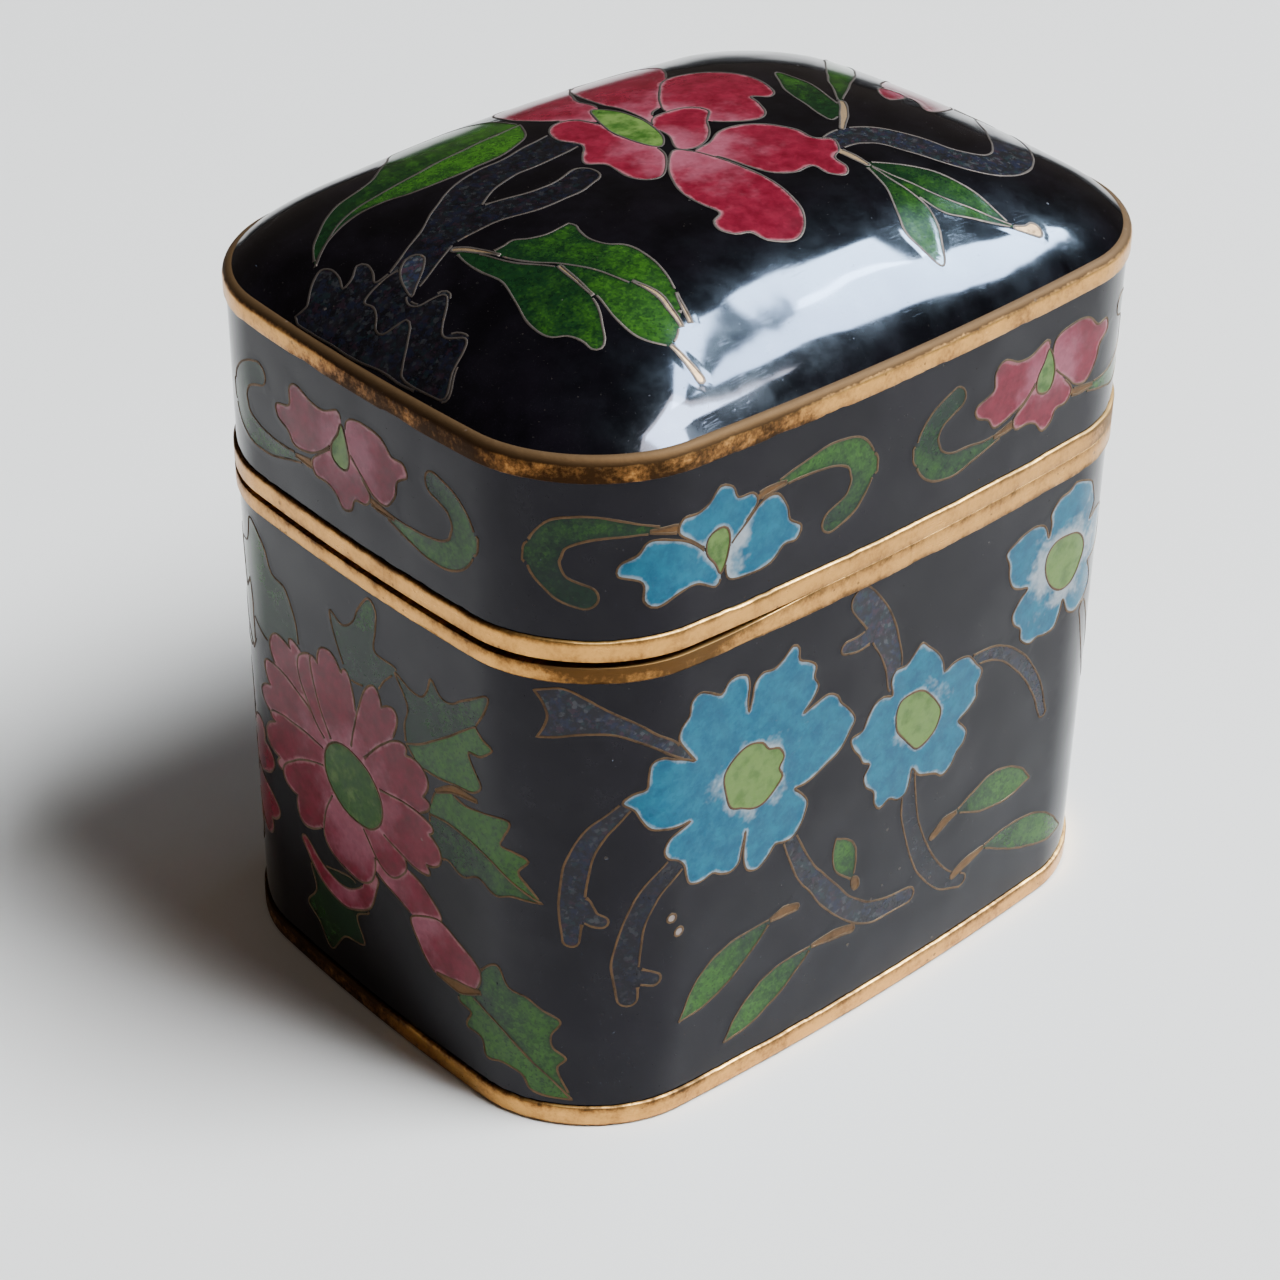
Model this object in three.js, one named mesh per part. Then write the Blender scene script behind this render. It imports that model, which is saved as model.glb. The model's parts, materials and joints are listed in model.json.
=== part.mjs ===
// A small lidded trinket box of cloisonne enamel on copper, with brass bands.
// Millimetres, +Z up. X runs along the long side, Y along the short side, and the origin is
// under the middle of the box, on the surface that it stands on.
//
// Every piece follows one plan outline: a rectangle with round corners whose sides bow out a
// little. A piece is a section of that outline's wall, given by how far out or in it lies from
// the enamel's face and by its height, carried round the outline. The lid rests on the base:
// it has no hinge and lifts off.

import * as THREE from "three";

// ---- Driving dimensions ----

// Plan outline, at the enamel's outer face
const SIDE_LENGTH = 48.0; // long side, measured at the corners
const SIDE_DEPTH = 35.7; // short side, measured at the corners
const CORNER_RADIUS = 7.7;
const BOW_LENGTH = 0.041; // how much the middle of a short side bows out, as a share of the length
const BOW_DEPTH = 0.0744; // how much the middle of a long side bows out, as a share of the depth

// Heights above the surface that the box stands on
const FOOT_TOP = 1.5;
const BASE_TOP = 32.6;
const SEAM = 34.1;
const RIM_TOP = 35.4;
const SHOULDER_BOTTOM = 45.4;
const SHOULDER_TOP = 46.9;

// Walls and bands
const WALL = 1.3;
const FLOOR = 1.3;
const BAND_PROUD = 0.15; // the bands stand this far out from the enamel
const BAND_EDGE = 0.12; // their edges are worn round by this much
const FOOT_WIDTH = 1.8;
const FLOOR_FILLET = 1.4;

// The base's mouth: a collar inside the lid, and a seam that gapes at one end
const COLLAR_GAP = 0.3; // play between the collar and the lid
const COLLAR_THICKNESS = 0.6;
const COLLAR_TOP = 37.4;
const COLLAR_BOTTOM = 31.4;
const SEAM_GAP = 0.4; // how far the mouth has sunk along the short side at -X
const GAP_END = -6; // the gap closes at this X along the long sides
const GAP_RAMP = 9; // length over which it closes

// The lid's shoulder and dome
const SHOULDER_INSET = 0.45; // the band turns in over the edge by this much
const SHOULDER_ROUND = 0.6; // radius of that turn
const DOME_HEIGHT = 5.6;
const DOME_FLATNESS = 3.2; // a higher power gives a flatter middle
const DOME_EDGE = 0.85; // a lower power gives a steeper start at the edge
const DOME_OVAL = 1.3; // how soon the outline turns from the plan to an ellipse
const DOME_THICKNESS = 1.1;
const DOME_SEAT = 1.15; // width of the dome's flat lower edge

// How finely the outline and the dome are divided
const CORNER_STEPS = 9;
const LONG_STEPS = 8;
const SHORT_STEPS = 6;
const OUTER_RINGS = 12;
const INNER_RINGS = 8;
const FILLET_STEPS = 3;

// ---- Finishes ----

const finish = (color, roughness, metalness) => () =>
  new THREE.MeshStandardMaterial({ color, roughness, metalness });
const brass = finish(0xb98d52, 0.36, 1.0);
const blackEnamel = finish(0x0c0c0e, 0.12, 0.0);

// ---- Plan outline ----

// Bows the sides of a rectangle outline out, most in the middle of each side.
function bowed(x, y) {
  const halfLength = SIDE_LENGTH / 2;
  const halfDepth = SIDE_DEPTH / 2;
  return new THREE.Vector2(
    x * (1 + BOW_LENGTH * (1 - (y / halfDepth) ** 2)),
    y * (1 + BOW_DEPTH * (1 - (x / halfLength) ** 2)),
  );
}

// Points of the enamel's outer face, anticlockwise from the middle of the +X side's lower end.
function planPoints() {
  const a = SIDE_LENGTH / 2 - CORNER_RADIUS;
  const b = SIDE_DEPTH / 2 - CORNER_RADIUS;
  const corners = [
    { x: a, y: b, side: LONG_STEPS },
    { x: -a, y: b, side: SHORT_STEPS },
    { x: -a, y: -b, side: LONG_STEPS },
    { x: a, y: -b, side: SHORT_STEPS },
  ];
  const points = [];
  corners.forEach((corner, k) => {
    const start = (k * Math.PI) / 2;
    const next = corners[(k + 1) % corners.length];
    for (let i = 0; i <= CORNER_STEPS; i++) {
      const angle = start + ((Math.PI / 2) * i) / CORNER_STEPS;
      points.push([corner.x + CORNER_RADIUS * Math.cos(angle), corner.y + CORNER_RADIUS * Math.sin(angle)]);
    }
    const end = start + Math.PI / 2;
    for (let i = 1; i < corner.side; i++) {
      const t = i / corner.side;
      points.push([
        corner.x + (next.x - corner.x) * t + CORNER_RADIUS * Math.cos(end),
        corner.y + (next.y - corner.y) * t + CORNER_RADIUS * Math.sin(end),
      ]);
    }
  });
  return points.map(([x, y]) => bowed(x, y));
}

const PLAN = planPoints();
const PLAN_NORMALS = PLAN.map((point, i) => {
  const before = PLAN[(i + PLAN.length - 1) % PLAN.length];
  const after = PLAN[(i + 1) % PLAN.length];
  const along = after.clone().sub(before).normalize();
  return new THREE.Vector2(along.y, -along.x);
});

// The outline moved out by `out`, or in where it is negative.
const offsetPlan = (out) => PLAN.map((point, i) => point.clone().addScaledVector(PLAN_NORMALS[i], out));

// ---- Rings and skins ----

// One loop of points round the box. `height` is a number, or a function of the plan point.
function loop(out, height) {
  const heightAt = typeof height === "function" ? height : () => height;
  return offsetPlan(out).map((p) => new THREE.Vector3(p.x, p.y, heightAt(p)));
}

// Joins loops into one closed body. The loops go up the outside and down the inside.
// A band closes from its last loop to its first. A vessel closes with a point at each end.
function skin(loops, ends = null) {
  const count = PLAN.length;
  const vertices = loops.flat();
  const faces = [];
  const joined = ends ? loops.length - 1 : loops.length;
  for (let k = 0; k < joined; k++) {
    const low = k * count;
    const high = ((k + 1) % loops.length) * count;
    for (let i = 0; i < count; i++) {
      const j = (i + 1) % count;
      faces.push(low + i, low + j, high + j);
      faces.push(low + i, high + j, high + i);
    }
  }
  if (ends) {
    const first = vertices.push(ends[0]) - 1;
    const last = vertices.push(ends[1]) - 1;
    const top = (loops.length - 1) * count;
    for (let i = 0; i < count; i++) {
      const j = (i + 1) % count;
      faces.push(first, j, i);
      faces.push(last, top + i, top + j);
    }
  }
  const geometry = new THREE.BufferGeometry();
  geometry.setAttribute(
    "position",
    new THREE.Float32BufferAttribute(vertices.flatMap((v) => [v.x, v.y, v.z]), 3),
  );
  geometry.setIndex(faces);
  geometry.computeVertexNormals();
  return geometry;
}

function piece(name, geometry, material) {
  const mesh = new THREE.Mesh(geometry, material());
  mesh.name = name;
  return mesh;
}

// ---- The base ----

function footBand() {
  return skin([
    loop(-FOOT_WIDTH, 0),
    loop(BAND_PROUD - 2 * BAND_EDGE, 0),
    loop(BAND_PROUD, 2 * BAND_EDGE),
    loop(BAND_PROUD, FOOT_TOP - BAND_EDGE),
    loop(BAND_PROUD - BAND_EDGE, FOOT_TOP),
    loop(-FOOT_WIDTH, FOOT_TOP),
  ]);
}

function boxBody() {
  const fillet = [];
  for (let i = 0; i <= FILLET_STEPS; i++) {
    const angle = ((Math.PI / 2) * i) / FILLET_STEPS;
    const inward = FLOOR_FILLET * (1 - Math.cos(angle));
    const down = FLOOR_FILLET * Math.sin(angle);
    fillet.push(loop(-WALL - inward, FOOT_TOP + FLOOR + FLOOR_FILLET - down));
  }
  const loops = [loop(0, FOOT_TOP), loop(0, BASE_TOP), loop(-WALL, BASE_TOP), ...fillet];
  return skin(loops, [new THREE.Vector3(0, 0, FOOT_TOP), new THREE.Vector3(0, 0, FOOT_TOP + FLOOR)]);
}

// 1 where the mouth has sunk, along the short side at -X, falling to 0 along the long sides.
function sunkShare(x) {
  const t = THREE.MathUtils.clamp((GAP_END - x) / GAP_RAMP, 0, 1);
  return t * t * (3 - 2 * t);
}

function mouthBand() {
  const outside = -WALL - COLLAR_GAP;
  const inside = outside - COLLAR_THICKNESS;
  const top = (p) => SEAM - SEAM_GAP * sunkShare(p.x);
  const edge = (p) => top(p) - BAND_EDGE;
  return skin([
    loop(BAND_PROUD - BAND_EDGE, BASE_TOP),
    loop(BAND_PROUD, BASE_TOP + BAND_EDGE),
    loop(BAND_PROUD, edge),
    loop(BAND_PROUD - BAND_EDGE, top),
    loop(outside, top),
    loop(outside, COLLAR_TOP),
    loop(inside, COLLAR_TOP),
    loop(inside, COLLAR_BOTTOM),
    loop(outside, COLLAR_BOTTOM),
    loop(outside, BASE_TOP),
  ]);
}

// ---- The lid ----

function lidRim() {
  return skin([
    loop(BAND_PROUD - BAND_EDGE, SEAM),
    loop(BAND_PROUD, SEAM + BAND_EDGE),
    loop(BAND_PROUD, RIM_TOP - BAND_EDGE),
    loop(BAND_PROUD - BAND_EDGE, RIM_TOP),
    loop(-WALL, RIM_TOP),
    loop(-WALL, SEAM),
  ]);
}

function lidSkirt() {
  return skin([
    loop(0, RIM_TOP),
    loop(0, SHOULDER_BOTTOM),
    loop(-WALL, SHOULDER_BOTTOM),
    loop(-WALL, RIM_TOP),
  ]);
}

function shoulderBand() {
  const half = Math.SQRT1_2;
  return skin([
    loop(BAND_PROUD - BAND_EDGE, SHOULDER_BOTTOM),
    loop(BAND_PROUD, SHOULDER_BOTTOM + BAND_EDGE),
    loop(BAND_PROUD, SHOULDER_TOP - SHOULDER_ROUND),
    loop(BAND_PROUD - SHOULDER_ROUND * (1 - half), SHOULDER_TOP - SHOULDER_ROUND * (1 - half)),
    loop(-SHOULDER_INSET, SHOULDER_TOP),
    loop(-WALL, SHOULDER_TOP),
    loop(-WALL, SHOULDER_BOTTOM),
  ]);
}

// A loop of a dome that starts on the outline at `out` and is `rise` high in the middle.
// `share` goes from 1 at the edge to 0 in the middle.
function domeLoop(out, rise, share) {
  const edge = offsetPlan(out);
  const halfLength = Math.max(...edge.map((p) => p.x));
  const halfDepth = Math.max(...edge.map((p) => p.y));
  const oval = Math.min(1, (1 - share) * DOME_OVAL);
  const height = SHOULDER_TOP + rise * (1 - share ** DOME_FLATNESS) ** DOME_EDGE;
  return edge.map((p) => {
    const angle = Math.atan2(p.y / halfDepth, p.x / halfLength);
    const ellipse = new THREE.Vector2(halfLength * Math.cos(angle), halfDepth * Math.sin(angle));
    const q = p.clone().lerp(ellipse, oval).multiplyScalar(share);
    return new THREE.Vector3(q.x, q.y, height);
  });
}

// Shares that are close together near the edge, where the dome curves most.
const domeShares = (rings) => Array.from({ length: rings }, (_, i) => 1 - (i / rings) ** 1.5);

function lidDome() {
  const innerEdge = -SHOULDER_INSET - DOME_SEAT;
  const innerRise = DOME_HEIGHT - DOME_THICKNESS;
  const outer = domeShares(OUTER_RINGS).map((share) => domeLoop(-SHOULDER_INSET, DOME_HEIGHT, share));
  const inner = domeShares(INNER_RINGS).map((share) => domeLoop(innerEdge, innerRise, share));
  const underside = new THREE.Vector3(0, 0, SHOULDER_TOP + innerRise);
  const crown = new THREE.Vector3(0, 0, SHOULDER_TOP + DOME_HEIGHT);
  return skin([...inner.reverse(), ...outer], [underside, crown]);
}

// ---- The box ----

const group = new THREE.Group();
group.add(
  piece("foot_band", footBand(), brass),
  piece("box_body", boxBody(), blackEnamel),
  piece("mouth_band", mouthBand(), brass),
  piece("lid_rim", lidRim(), brass),
  piece("lid_skirt", lidSkirt(), blackEnamel),
  piece("shoulder_band", shoulderBand(), brass),
  piece("lid_dome", lidDome(), blackEnamel),
);

export default group;
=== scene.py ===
# %% [markdown]
# # A cloisonne enamel box
# This notebook dresses a small lidded trinket box. The real one is made of thin copper. Flat
# brass wires are bent into flowers and leaves and fixed on edge to the copper, the cells
# between them are filled with coloured glass powder, and the whole is fired and ground flush.
# Brass bands cover the rims. The measured solids come first, as a frame that every visible
# piece is fitted to.

# %% Load the frame
import json
import math

import bpy
import numpy as np
from mathutils import Matrix, Vector, geometry, kdtree, noise

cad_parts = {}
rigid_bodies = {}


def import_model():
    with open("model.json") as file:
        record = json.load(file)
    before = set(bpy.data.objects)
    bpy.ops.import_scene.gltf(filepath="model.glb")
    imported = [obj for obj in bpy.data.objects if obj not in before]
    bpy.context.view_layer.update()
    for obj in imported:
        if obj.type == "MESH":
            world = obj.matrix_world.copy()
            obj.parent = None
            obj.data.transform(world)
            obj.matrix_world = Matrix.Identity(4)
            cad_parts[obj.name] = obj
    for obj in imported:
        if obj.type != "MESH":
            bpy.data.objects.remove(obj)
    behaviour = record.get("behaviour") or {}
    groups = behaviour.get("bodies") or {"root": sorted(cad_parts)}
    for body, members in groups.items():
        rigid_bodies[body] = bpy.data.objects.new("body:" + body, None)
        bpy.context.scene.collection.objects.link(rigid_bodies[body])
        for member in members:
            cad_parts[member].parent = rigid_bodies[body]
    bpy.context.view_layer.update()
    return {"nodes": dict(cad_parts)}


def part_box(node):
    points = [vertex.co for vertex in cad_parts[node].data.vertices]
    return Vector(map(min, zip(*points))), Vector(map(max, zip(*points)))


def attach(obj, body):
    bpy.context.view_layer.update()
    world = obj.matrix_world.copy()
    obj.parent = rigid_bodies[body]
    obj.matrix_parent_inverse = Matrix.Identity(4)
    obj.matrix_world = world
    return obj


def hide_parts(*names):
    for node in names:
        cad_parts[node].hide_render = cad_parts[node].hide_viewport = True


for default in list(bpy.data.objects):
    bpy.data.objects.remove(default)
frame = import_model()
MM = 0.001
print("frame:", sorted(frame["nodes"]))

# %% [markdown]
# ## The box's outline
# Seen from above, the box is a rectangle with round corners whose sides bow out a little. The
# solids follow the same rule, so it is written here once, in millimetres, and every skin,
# wire and band is laid along it. A long row of points stands for the curve. Its running
# length, u, then tells where on the wall something lies, like a tape measure round the box
# that starts at the near left corner.

# %% Outline of the walls
CORNER_RADIUS = 7.7
BOW_LENGTH = 0.041
BOW_DEPTH = 0.0744
SET_BACK = 0.04  # the ground enamel lies this far inside the solids, so that wires stay inside
body_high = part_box("box_body")[1]
half_length = body_high.x / MM / (1 + BOW_LENGTH)
half_depth = body_high.y / MM / (1 + BOW_DEPTH)


def plan_outline(steps=240):
    """Fine points of the enamel's face, anticlockwise from the middle of the near left corner."""
    a = half_length - CORNER_RADIUS
    b = half_depth - CORNER_RADIUS
    centres = [(-a, -b), (a, -b), (a, b), (-a, b)]
    points = []
    for k, (cx, cy) in enumerate(centres):
        turn = np.linspace(0, 1, steps + 1) * math.pi / 2 + math.pi * (1 + k / 2)
        points.append(np.column_stack([cx + CORNER_RADIUS * np.cos(turn),
                                       cy + CORNER_RADIUS * np.sin(turn)]))
        nx, ny = centres[(k + 1) % 4]
        along = np.linspace(0, 1, steps + 1)[1:-1, None]
        points.append(points[-1][-1] + along * np.array([nx - cx, ny - cy]))
    ring = np.concatenate(points)
    x, y = ring.T
    bowed_x = x * (1 + BOW_LENGTH * (1 - (y / half_depth) ** 2))
    bowed_y = y * (1 + BOW_DEPTH * (1 - (x / half_length) ** 2))
    return np.roll(np.column_stack([bowed_x, bowed_y]), -steps // 2, axis=0)


PLAN = plan_outline()
PLAN_STEP = np.linalg.norm(np.roll(PLAN, -1, axis=0) - PLAN, axis=1)
PLAN_U = np.concatenate([[0], np.cumsum(PLAN_STEP)])
GIRTH = PLAN_U[-1]
tangent = np.roll(PLAN, -1, axis=0) - np.roll(PLAN, 1, axis=0)
tangent /= np.linalg.norm(tangent, axis=1)[:, None]
PLAN_NORMAL = np.column_stack([tangent[:, 1], -tangent[:, 0]])


def plan_at(u, out=0.0):
    """Plan points and outward normals at running lengths u, moved out by `out`."""
    u = np.mod(u, GIRTH)
    closed = np.vstack([PLAN, PLAN[:1]])
    closed_normal = np.vstack([PLAN_NORMAL, PLAN_NORMAL[:1]])
    point = np.column_stack([np.interp(u, PLAN_U, closed[:, i]) for i in (0, 1)])
    normal = np.column_stack([np.interp(u, PLAN_U, closed_normal[:, i]) for i in (0, 1)])
    normal /= np.linalg.norm(normal, axis=1)[:, None]
    return point + normal * np.reshape(out, (-1, 1)), normal


def level(node, end):
    """Lowest (0) or highest (1) level of a solid, in millimetres."""
    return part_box(node)[end].z / MM


FOOT_TOP = level("box_body", 0)
BASE_TOP = level("box_body", 1)
SEAM = level("lid_rim", 0)
RIM_TOP = level("lid_skirt", 0)
SHOULDER_BOTTOM = level("lid_skirt", 1)
DOME_EDGE_LEVEL = level("lid_dome", 0)
CROWN = level("lid_dome", 1)
print(f"girth {GIRTH:.1f} mm, seam at {SEAM:.1f}, dome from {DOME_EDGE_LEVEL:.1f} to {CROWN:.1f}")

# %% [markdown]
# ## The dome's rule
# The lid swells like a cushion. Going in from its edge, the outline shrinks and turns slowly
# from the rounded rectangle to an ellipse, while the height rises steeply and then levels
# off. For a skin the question is the other way round: how high is the dome above a point
# (x, y)? Along one direction the rule is a quadratic in the share of the way out, so it can
# be solved outright.

# %% Height of the dome
DOME_INSET = 0.45
DOME_FLATNESS = 3.2
DOME_STEEPNESS = 0.85
DOME_OVAL = 1.3


class Dome:
    """A cushion that starts on the outline at `out` and rises by `rise` above `base`."""

    def __init__(self, out, rise, base):
        self.rise = rise
        self.base = base
        edge = PLAN + PLAN_NORMAL * out
        self.half = edge.max(axis=0)
        angle = np.arctan2(edge[:, 1], edge[:, 0])
        order = np.argsort(angle)
        turn = 2 * math.pi
        self.angle = np.concatenate([angle[order] - turn, angle[order], angle[order] + turn])
        self.radius = np.tile(np.linalg.norm(edge, axis=1)[order], 3)

    def edge_radius(self, direction):
        return np.interp(direction, self.angle, self.radius)

    def share(self, x, y):
        """1 at the edge, 0 in the middle."""
        r = np.hypot(x, y)
        direction = np.arctan2(y, x)
        edge = self.edge_radius(direction)
        oval = 1 / np.hypot(np.cos(direction) / self.half[0], np.sin(direction) / self.half[1])
        k = DOME_OVAL * (oval - edge)
        k = np.where(np.abs(k) < 1e-7, 1e-7, k)
        root = np.sqrt(np.maximum((edge + k) ** 2 - 4 * k * r, 0))
        solved = ((edge + k) - root) / (2 * k)
        return np.clip(np.where((1 - solved) * DOME_OVAL > 1, r / oval, solved), 0, 1)

    def height(self, x, y):
        return self.base + self.rise * (1 - self.share(x, y) ** DOME_FLATNESS) ** DOME_STEEPNESS

    def place(self, flat):
        """Points on the dome above flat points, with their normals."""
        x, y = flat.T
        step = 0.02
        slope_x = (self.height(x + step, y) - self.height(x - step, y)) / (2 * step)
        slope_y = (self.height(x, y + step) - self.height(x, y - step)) / (2 * step)
        normal = np.column_stack([-slope_x, -slope_y, np.ones(len(x))])
        normal /= np.linalg.norm(normal, axis=1)[:, None]
        return np.column_stack([x, y, self.height(x, y)]), normal


dome = Dome(-DOME_INSET, CROWN - DOME_EDGE_LEVEL - SET_BACK, DOME_EDGE_LEVEL)


def place_on_wall(flat):
    """Points on the wall at (u, z), with their normals."""
    point, normal = plan_at(flat[:, 0], -SET_BACK)
    level_normal = np.column_stack([normal, np.zeros(len(flat))])
    return np.column_stack([point, flat[:, 1]]), level_normal


print(f"dome is {dome.half[0] * 2:.1f} by {dome.half[1] * 2:.1f} mm")

# %% [markdown]
# ## Drawing the cells
# An enameller bends every motif from a strip of wire, so each motif here is one closed
# outline in millimetres. A few points with a smooth curve through them are enough for a free
# shape. Stems, branches and scrolls are a centre line with a width that swells and thins, and
# flowers are a rule in the angle round their heart. The outlines are laid down like paper cut
# outs: a later one hides what lies under it, and wires show only on edges that are left.

# %% Curves and outlines
DRAW_STEP = 0.22
BEND_SEED = 7
noise.seed_set(BEND_SEED)  # the wires are bent in the same way each time


def smooth(points, closed=False):
    """A curve through the points, with a new point about every DRAW_STEP."""
    p = np.asarray(points, float)
    n = len(p)
    spans = n if closed else n - 1
    parts = []
    for i in range(spans):
        if closed:
            a, b, c, d = p[(i - 1) % n], p[i], p[(i + 1) % n], p[(i + 2) % n]
        else:
            a, b, c, d = p[max(i - 1, 0)], p[i], p[i + 1], p[min(i + 2, n - 1)]
        count = max(2, int(np.linalg.norm(c - b) / DRAW_STEP))
        t = (np.arange(count) / count)[:, None]
        parts.append(
            0.5 * (2 * b + (c - a) * t + (2 * a - 5 * b + 4 * c - d) * t**2 + (3 * b - a - 3 * c + d) * t**3)
        )
    if not closed:
        parts.append(p[-1:])
    return np.concatenate(parts)


def runs(*curves):
    """One closed outline from several curves that meet in sharp corners."""
    return np.concatenate([smooth(curve)[:-1] for curve in curves])


def blade(points, widths):
    """Outline of a strip along a centre line. A wide end is round and a narrow one is pointed."""
    line = smooth(points)
    way = np.concatenate([[0], np.cumsum(np.linalg.norm(np.diff(line, axis=0), axis=1))])
    way /= way[-1]
    half = np.interp(way, np.linspace(0, 1, len(widths)), widths) / 2
    along = np.gradient(line, axis=0)
    along /= np.linalg.norm(along, axis=1)[:, None]
    side = np.column_stack([-along[:, 1], along[:, 0]])

    def cap(i, facing):
        if half[i] < 0.15:
            return np.empty((0, 2))
        count = max(3, int(math.pi * half[i] / DRAW_STEP))
        turn = np.linspace(0, math.pi, count + 2)[1:-1, None]
        return line[i] + half[i] * facing * (np.cos(turn) * side[i] + np.sin(turn) * along[i])

    left = line + side * half[:, None]
    right = (line - side * half[:, None])[::-1]
    return np.concatenate([left, cap(-1, 1), right, cap(0, -1)])


def flower(heart, petals, notch=0.6):
    """Outline round a heart, from petals given as (direction, spread, reach, lobes), in degrees."""
    points = []
    for direction, spread, reach, lobes in petals:
        count = max(10, int(math.radians(spread) * reach / DRAW_STEP))
        t = np.linspace(0, 1, count, endpoint=False)
        shoulder = (1 - np.abs(2 * t - 1) ** 4) ** 0.5
        scallop = 1 - 0.09 * (1 - np.abs(np.sin(math.pi * lobes * t)) ** 0.7) * (lobes > 1)
        radius = reach * (notch + (1 - notch) * shoulder) * scallop
        angle = np.radians(direction + spread * (0.5 - t))
        points.append(np.column_stack([radius * np.cos(angle), radius * np.sin(angle)]))
    return np.concatenate(points) + np.array(heart, float)


def petal(heart, direction, reach, width, lobes=2, root=0.16):
    """A single petal: narrow at the heart, wide and lobed at its end. `direction` is in degrees."""
    t = np.linspace(-1, 1, max(16, int(2.6 * reach / DRAW_STEP)))
    swing = np.sign(t) * (1 - (1 - np.abs(t)) ** 1.6)
    edge = (1 - np.abs(t) ** 2.6) ** 0.55
    scallop = 1 - 0.16 * (1 - np.abs(np.cos(math.pi * lobes * t / 2 + math.pi * (lobes % 2 == 0) / 2)) ** 0.7)
    along = reach * (root + (1 - root) * edge * scallop)
    across = width / 2 * swing * np.sqrt(np.clip(along / reach, 0, 1))
    return turned(np.column_stack([along, -across]), direction, heart)


def turned(points, direction, origin=(0, 0)):
    """Points turned by `direction` degrees and moved to `origin`."""
    c, s = math.cos(math.radians(direction)), math.sin(math.radians(direction))
    return np.asarray(points, float) @ np.array([[c, s], [-s, c]]) + np.array(origin, float)


def leaf_halves(base, tip, width, teeth=3, bend=0.1, depth=0.3):
    """The two halves of a toothed leaf, with the bent midrib between them."""
    base, tip = np.array(base, float), np.array(tip, float)
    length = np.linalg.norm(tip - base)
    direction = math.degrees(math.atan2(*(tip - base)[::-1]))
    t = np.linspace(0, 1, max(16, int(1.4 * length / DRAW_STEP)))
    rib = np.column_stack([t * length, bend * length * np.sin(math.pi * t)])
    halves = []
    for sign in (1, -1):
        saw = np.mod(t * teeth + 0.12 * sign, 1)
        body = np.sin(math.pi * t**0.75) ** 0.8
        margin = rib[:, 1] + sign * width / 2 * body * (1 - depth + depth * 1.6 * saw)
        lean = t * length + 0.06 * length * saw * body
        lean[-1] = length
        halves.append(turned(np.concatenate([np.column_stack([lean, margin]), rib[::-1][1:-1]]), direction,
                             base))
    return halves


def dot(centre, radius):
    turn = np.linspace(0, 2 * math.pi, max(8, int(2 * math.pi * radius / DRAW_STEP)), endpoint=False)
    return np.column_stack([np.cos(turn), np.sin(turn)]) * radius + np.array(centre, float)


def hand_bent(outline):
    """The outline with the small unevenness of a wire that was bent by hand."""
    wander = np.array([noise.noise_vector((x * 0.55, y * 0.55, 3.0)) for x, y in outline])
    return outline + 0.11 * wander[:, :2]


class Cell:
    """An outline, or several that run together, filled with one enamel.

    `heart` is where its colour grows from, and `reach` is how far it grows. `tint` shifts it.
    """

    def __init__(self, enamel, outlines, heart=None, reach=None, tint=0.5):
        self.enamel = enamel
        self.outlines = [hand_bent(o) for o in (outlines if isinstance(outlines, list) else [outlines])]
        whole = np.concatenate(self.outlines)
        self.heart = np.array(heart if heart is not None else whole.mean(axis=0), float)
        self.reach = reach or np.linalg.norm(whole - self.heart, axis=1).max()
        self.tint = tint


print("drawing tools ready")

# %% [markdown]
# ## Motifs of the dome
# The lid's top carries the main picture: a red peony on a dark speckled branch that grows from
# a rock, with long green leaves. Its petals overlap, so they are drawn from the back to the
# front. x runs along the box and y across it.

# %% Dome: rock, branches and leaves
ROCK = [(-24.3, 5.6), (-23.5, 5.8), (-22.4, 6.7), (-21.6, 7.0), (-21.3, 6.4), (-21.5, 5.4), (-21.9, 4.5),
        (-21.2, 4.6), (-20.4, 5.1), (-20.1, 4.6), (-20.4, 3.6), (-20.8, 2.9), (-20.0, 2.7), (-19.0, 2.6),
        (-18.6, 1.6), (-19.4, 0.6), (-20.6, 0.0), (-20.7, -0.8), (-20.2, -1.2), (-19.4, -1.3),
        (-19.3, -1.9), (-20.0, -2.5), (-21.0, -3.1), (-21.5, -3.8), (-20.9, -4.4), (-20.8, -5.2),
        (-21.6, -5.8), (-22.8, -6.5), (-23.9, -7.1), (-24.2, -5.5), (-24.4, 0.0)]
ROCK_FOLD = [(-22.0, 2.4), (-22.0, 1.6), (-22.4, 0.8), (-22.9, 0.2), (-22.9, -0.5), (-22.2, -0.8),
             (-21.7, -1.0), (-21.9, -1.6), (-22.8, -2.4), (-23.7, -3.2), (-24.1, -3.9), (-24.0, -6.8),
             (-22.8, -6.3), (-21.0, -5.3), (-21.4, -3.8), (-19.5, -1.8), (-20.8, -0.9), (-20.8, 0.1),
             (-19.6, 1.2), (-19.4, 2.3), (-20.8, 2.6)]
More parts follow.
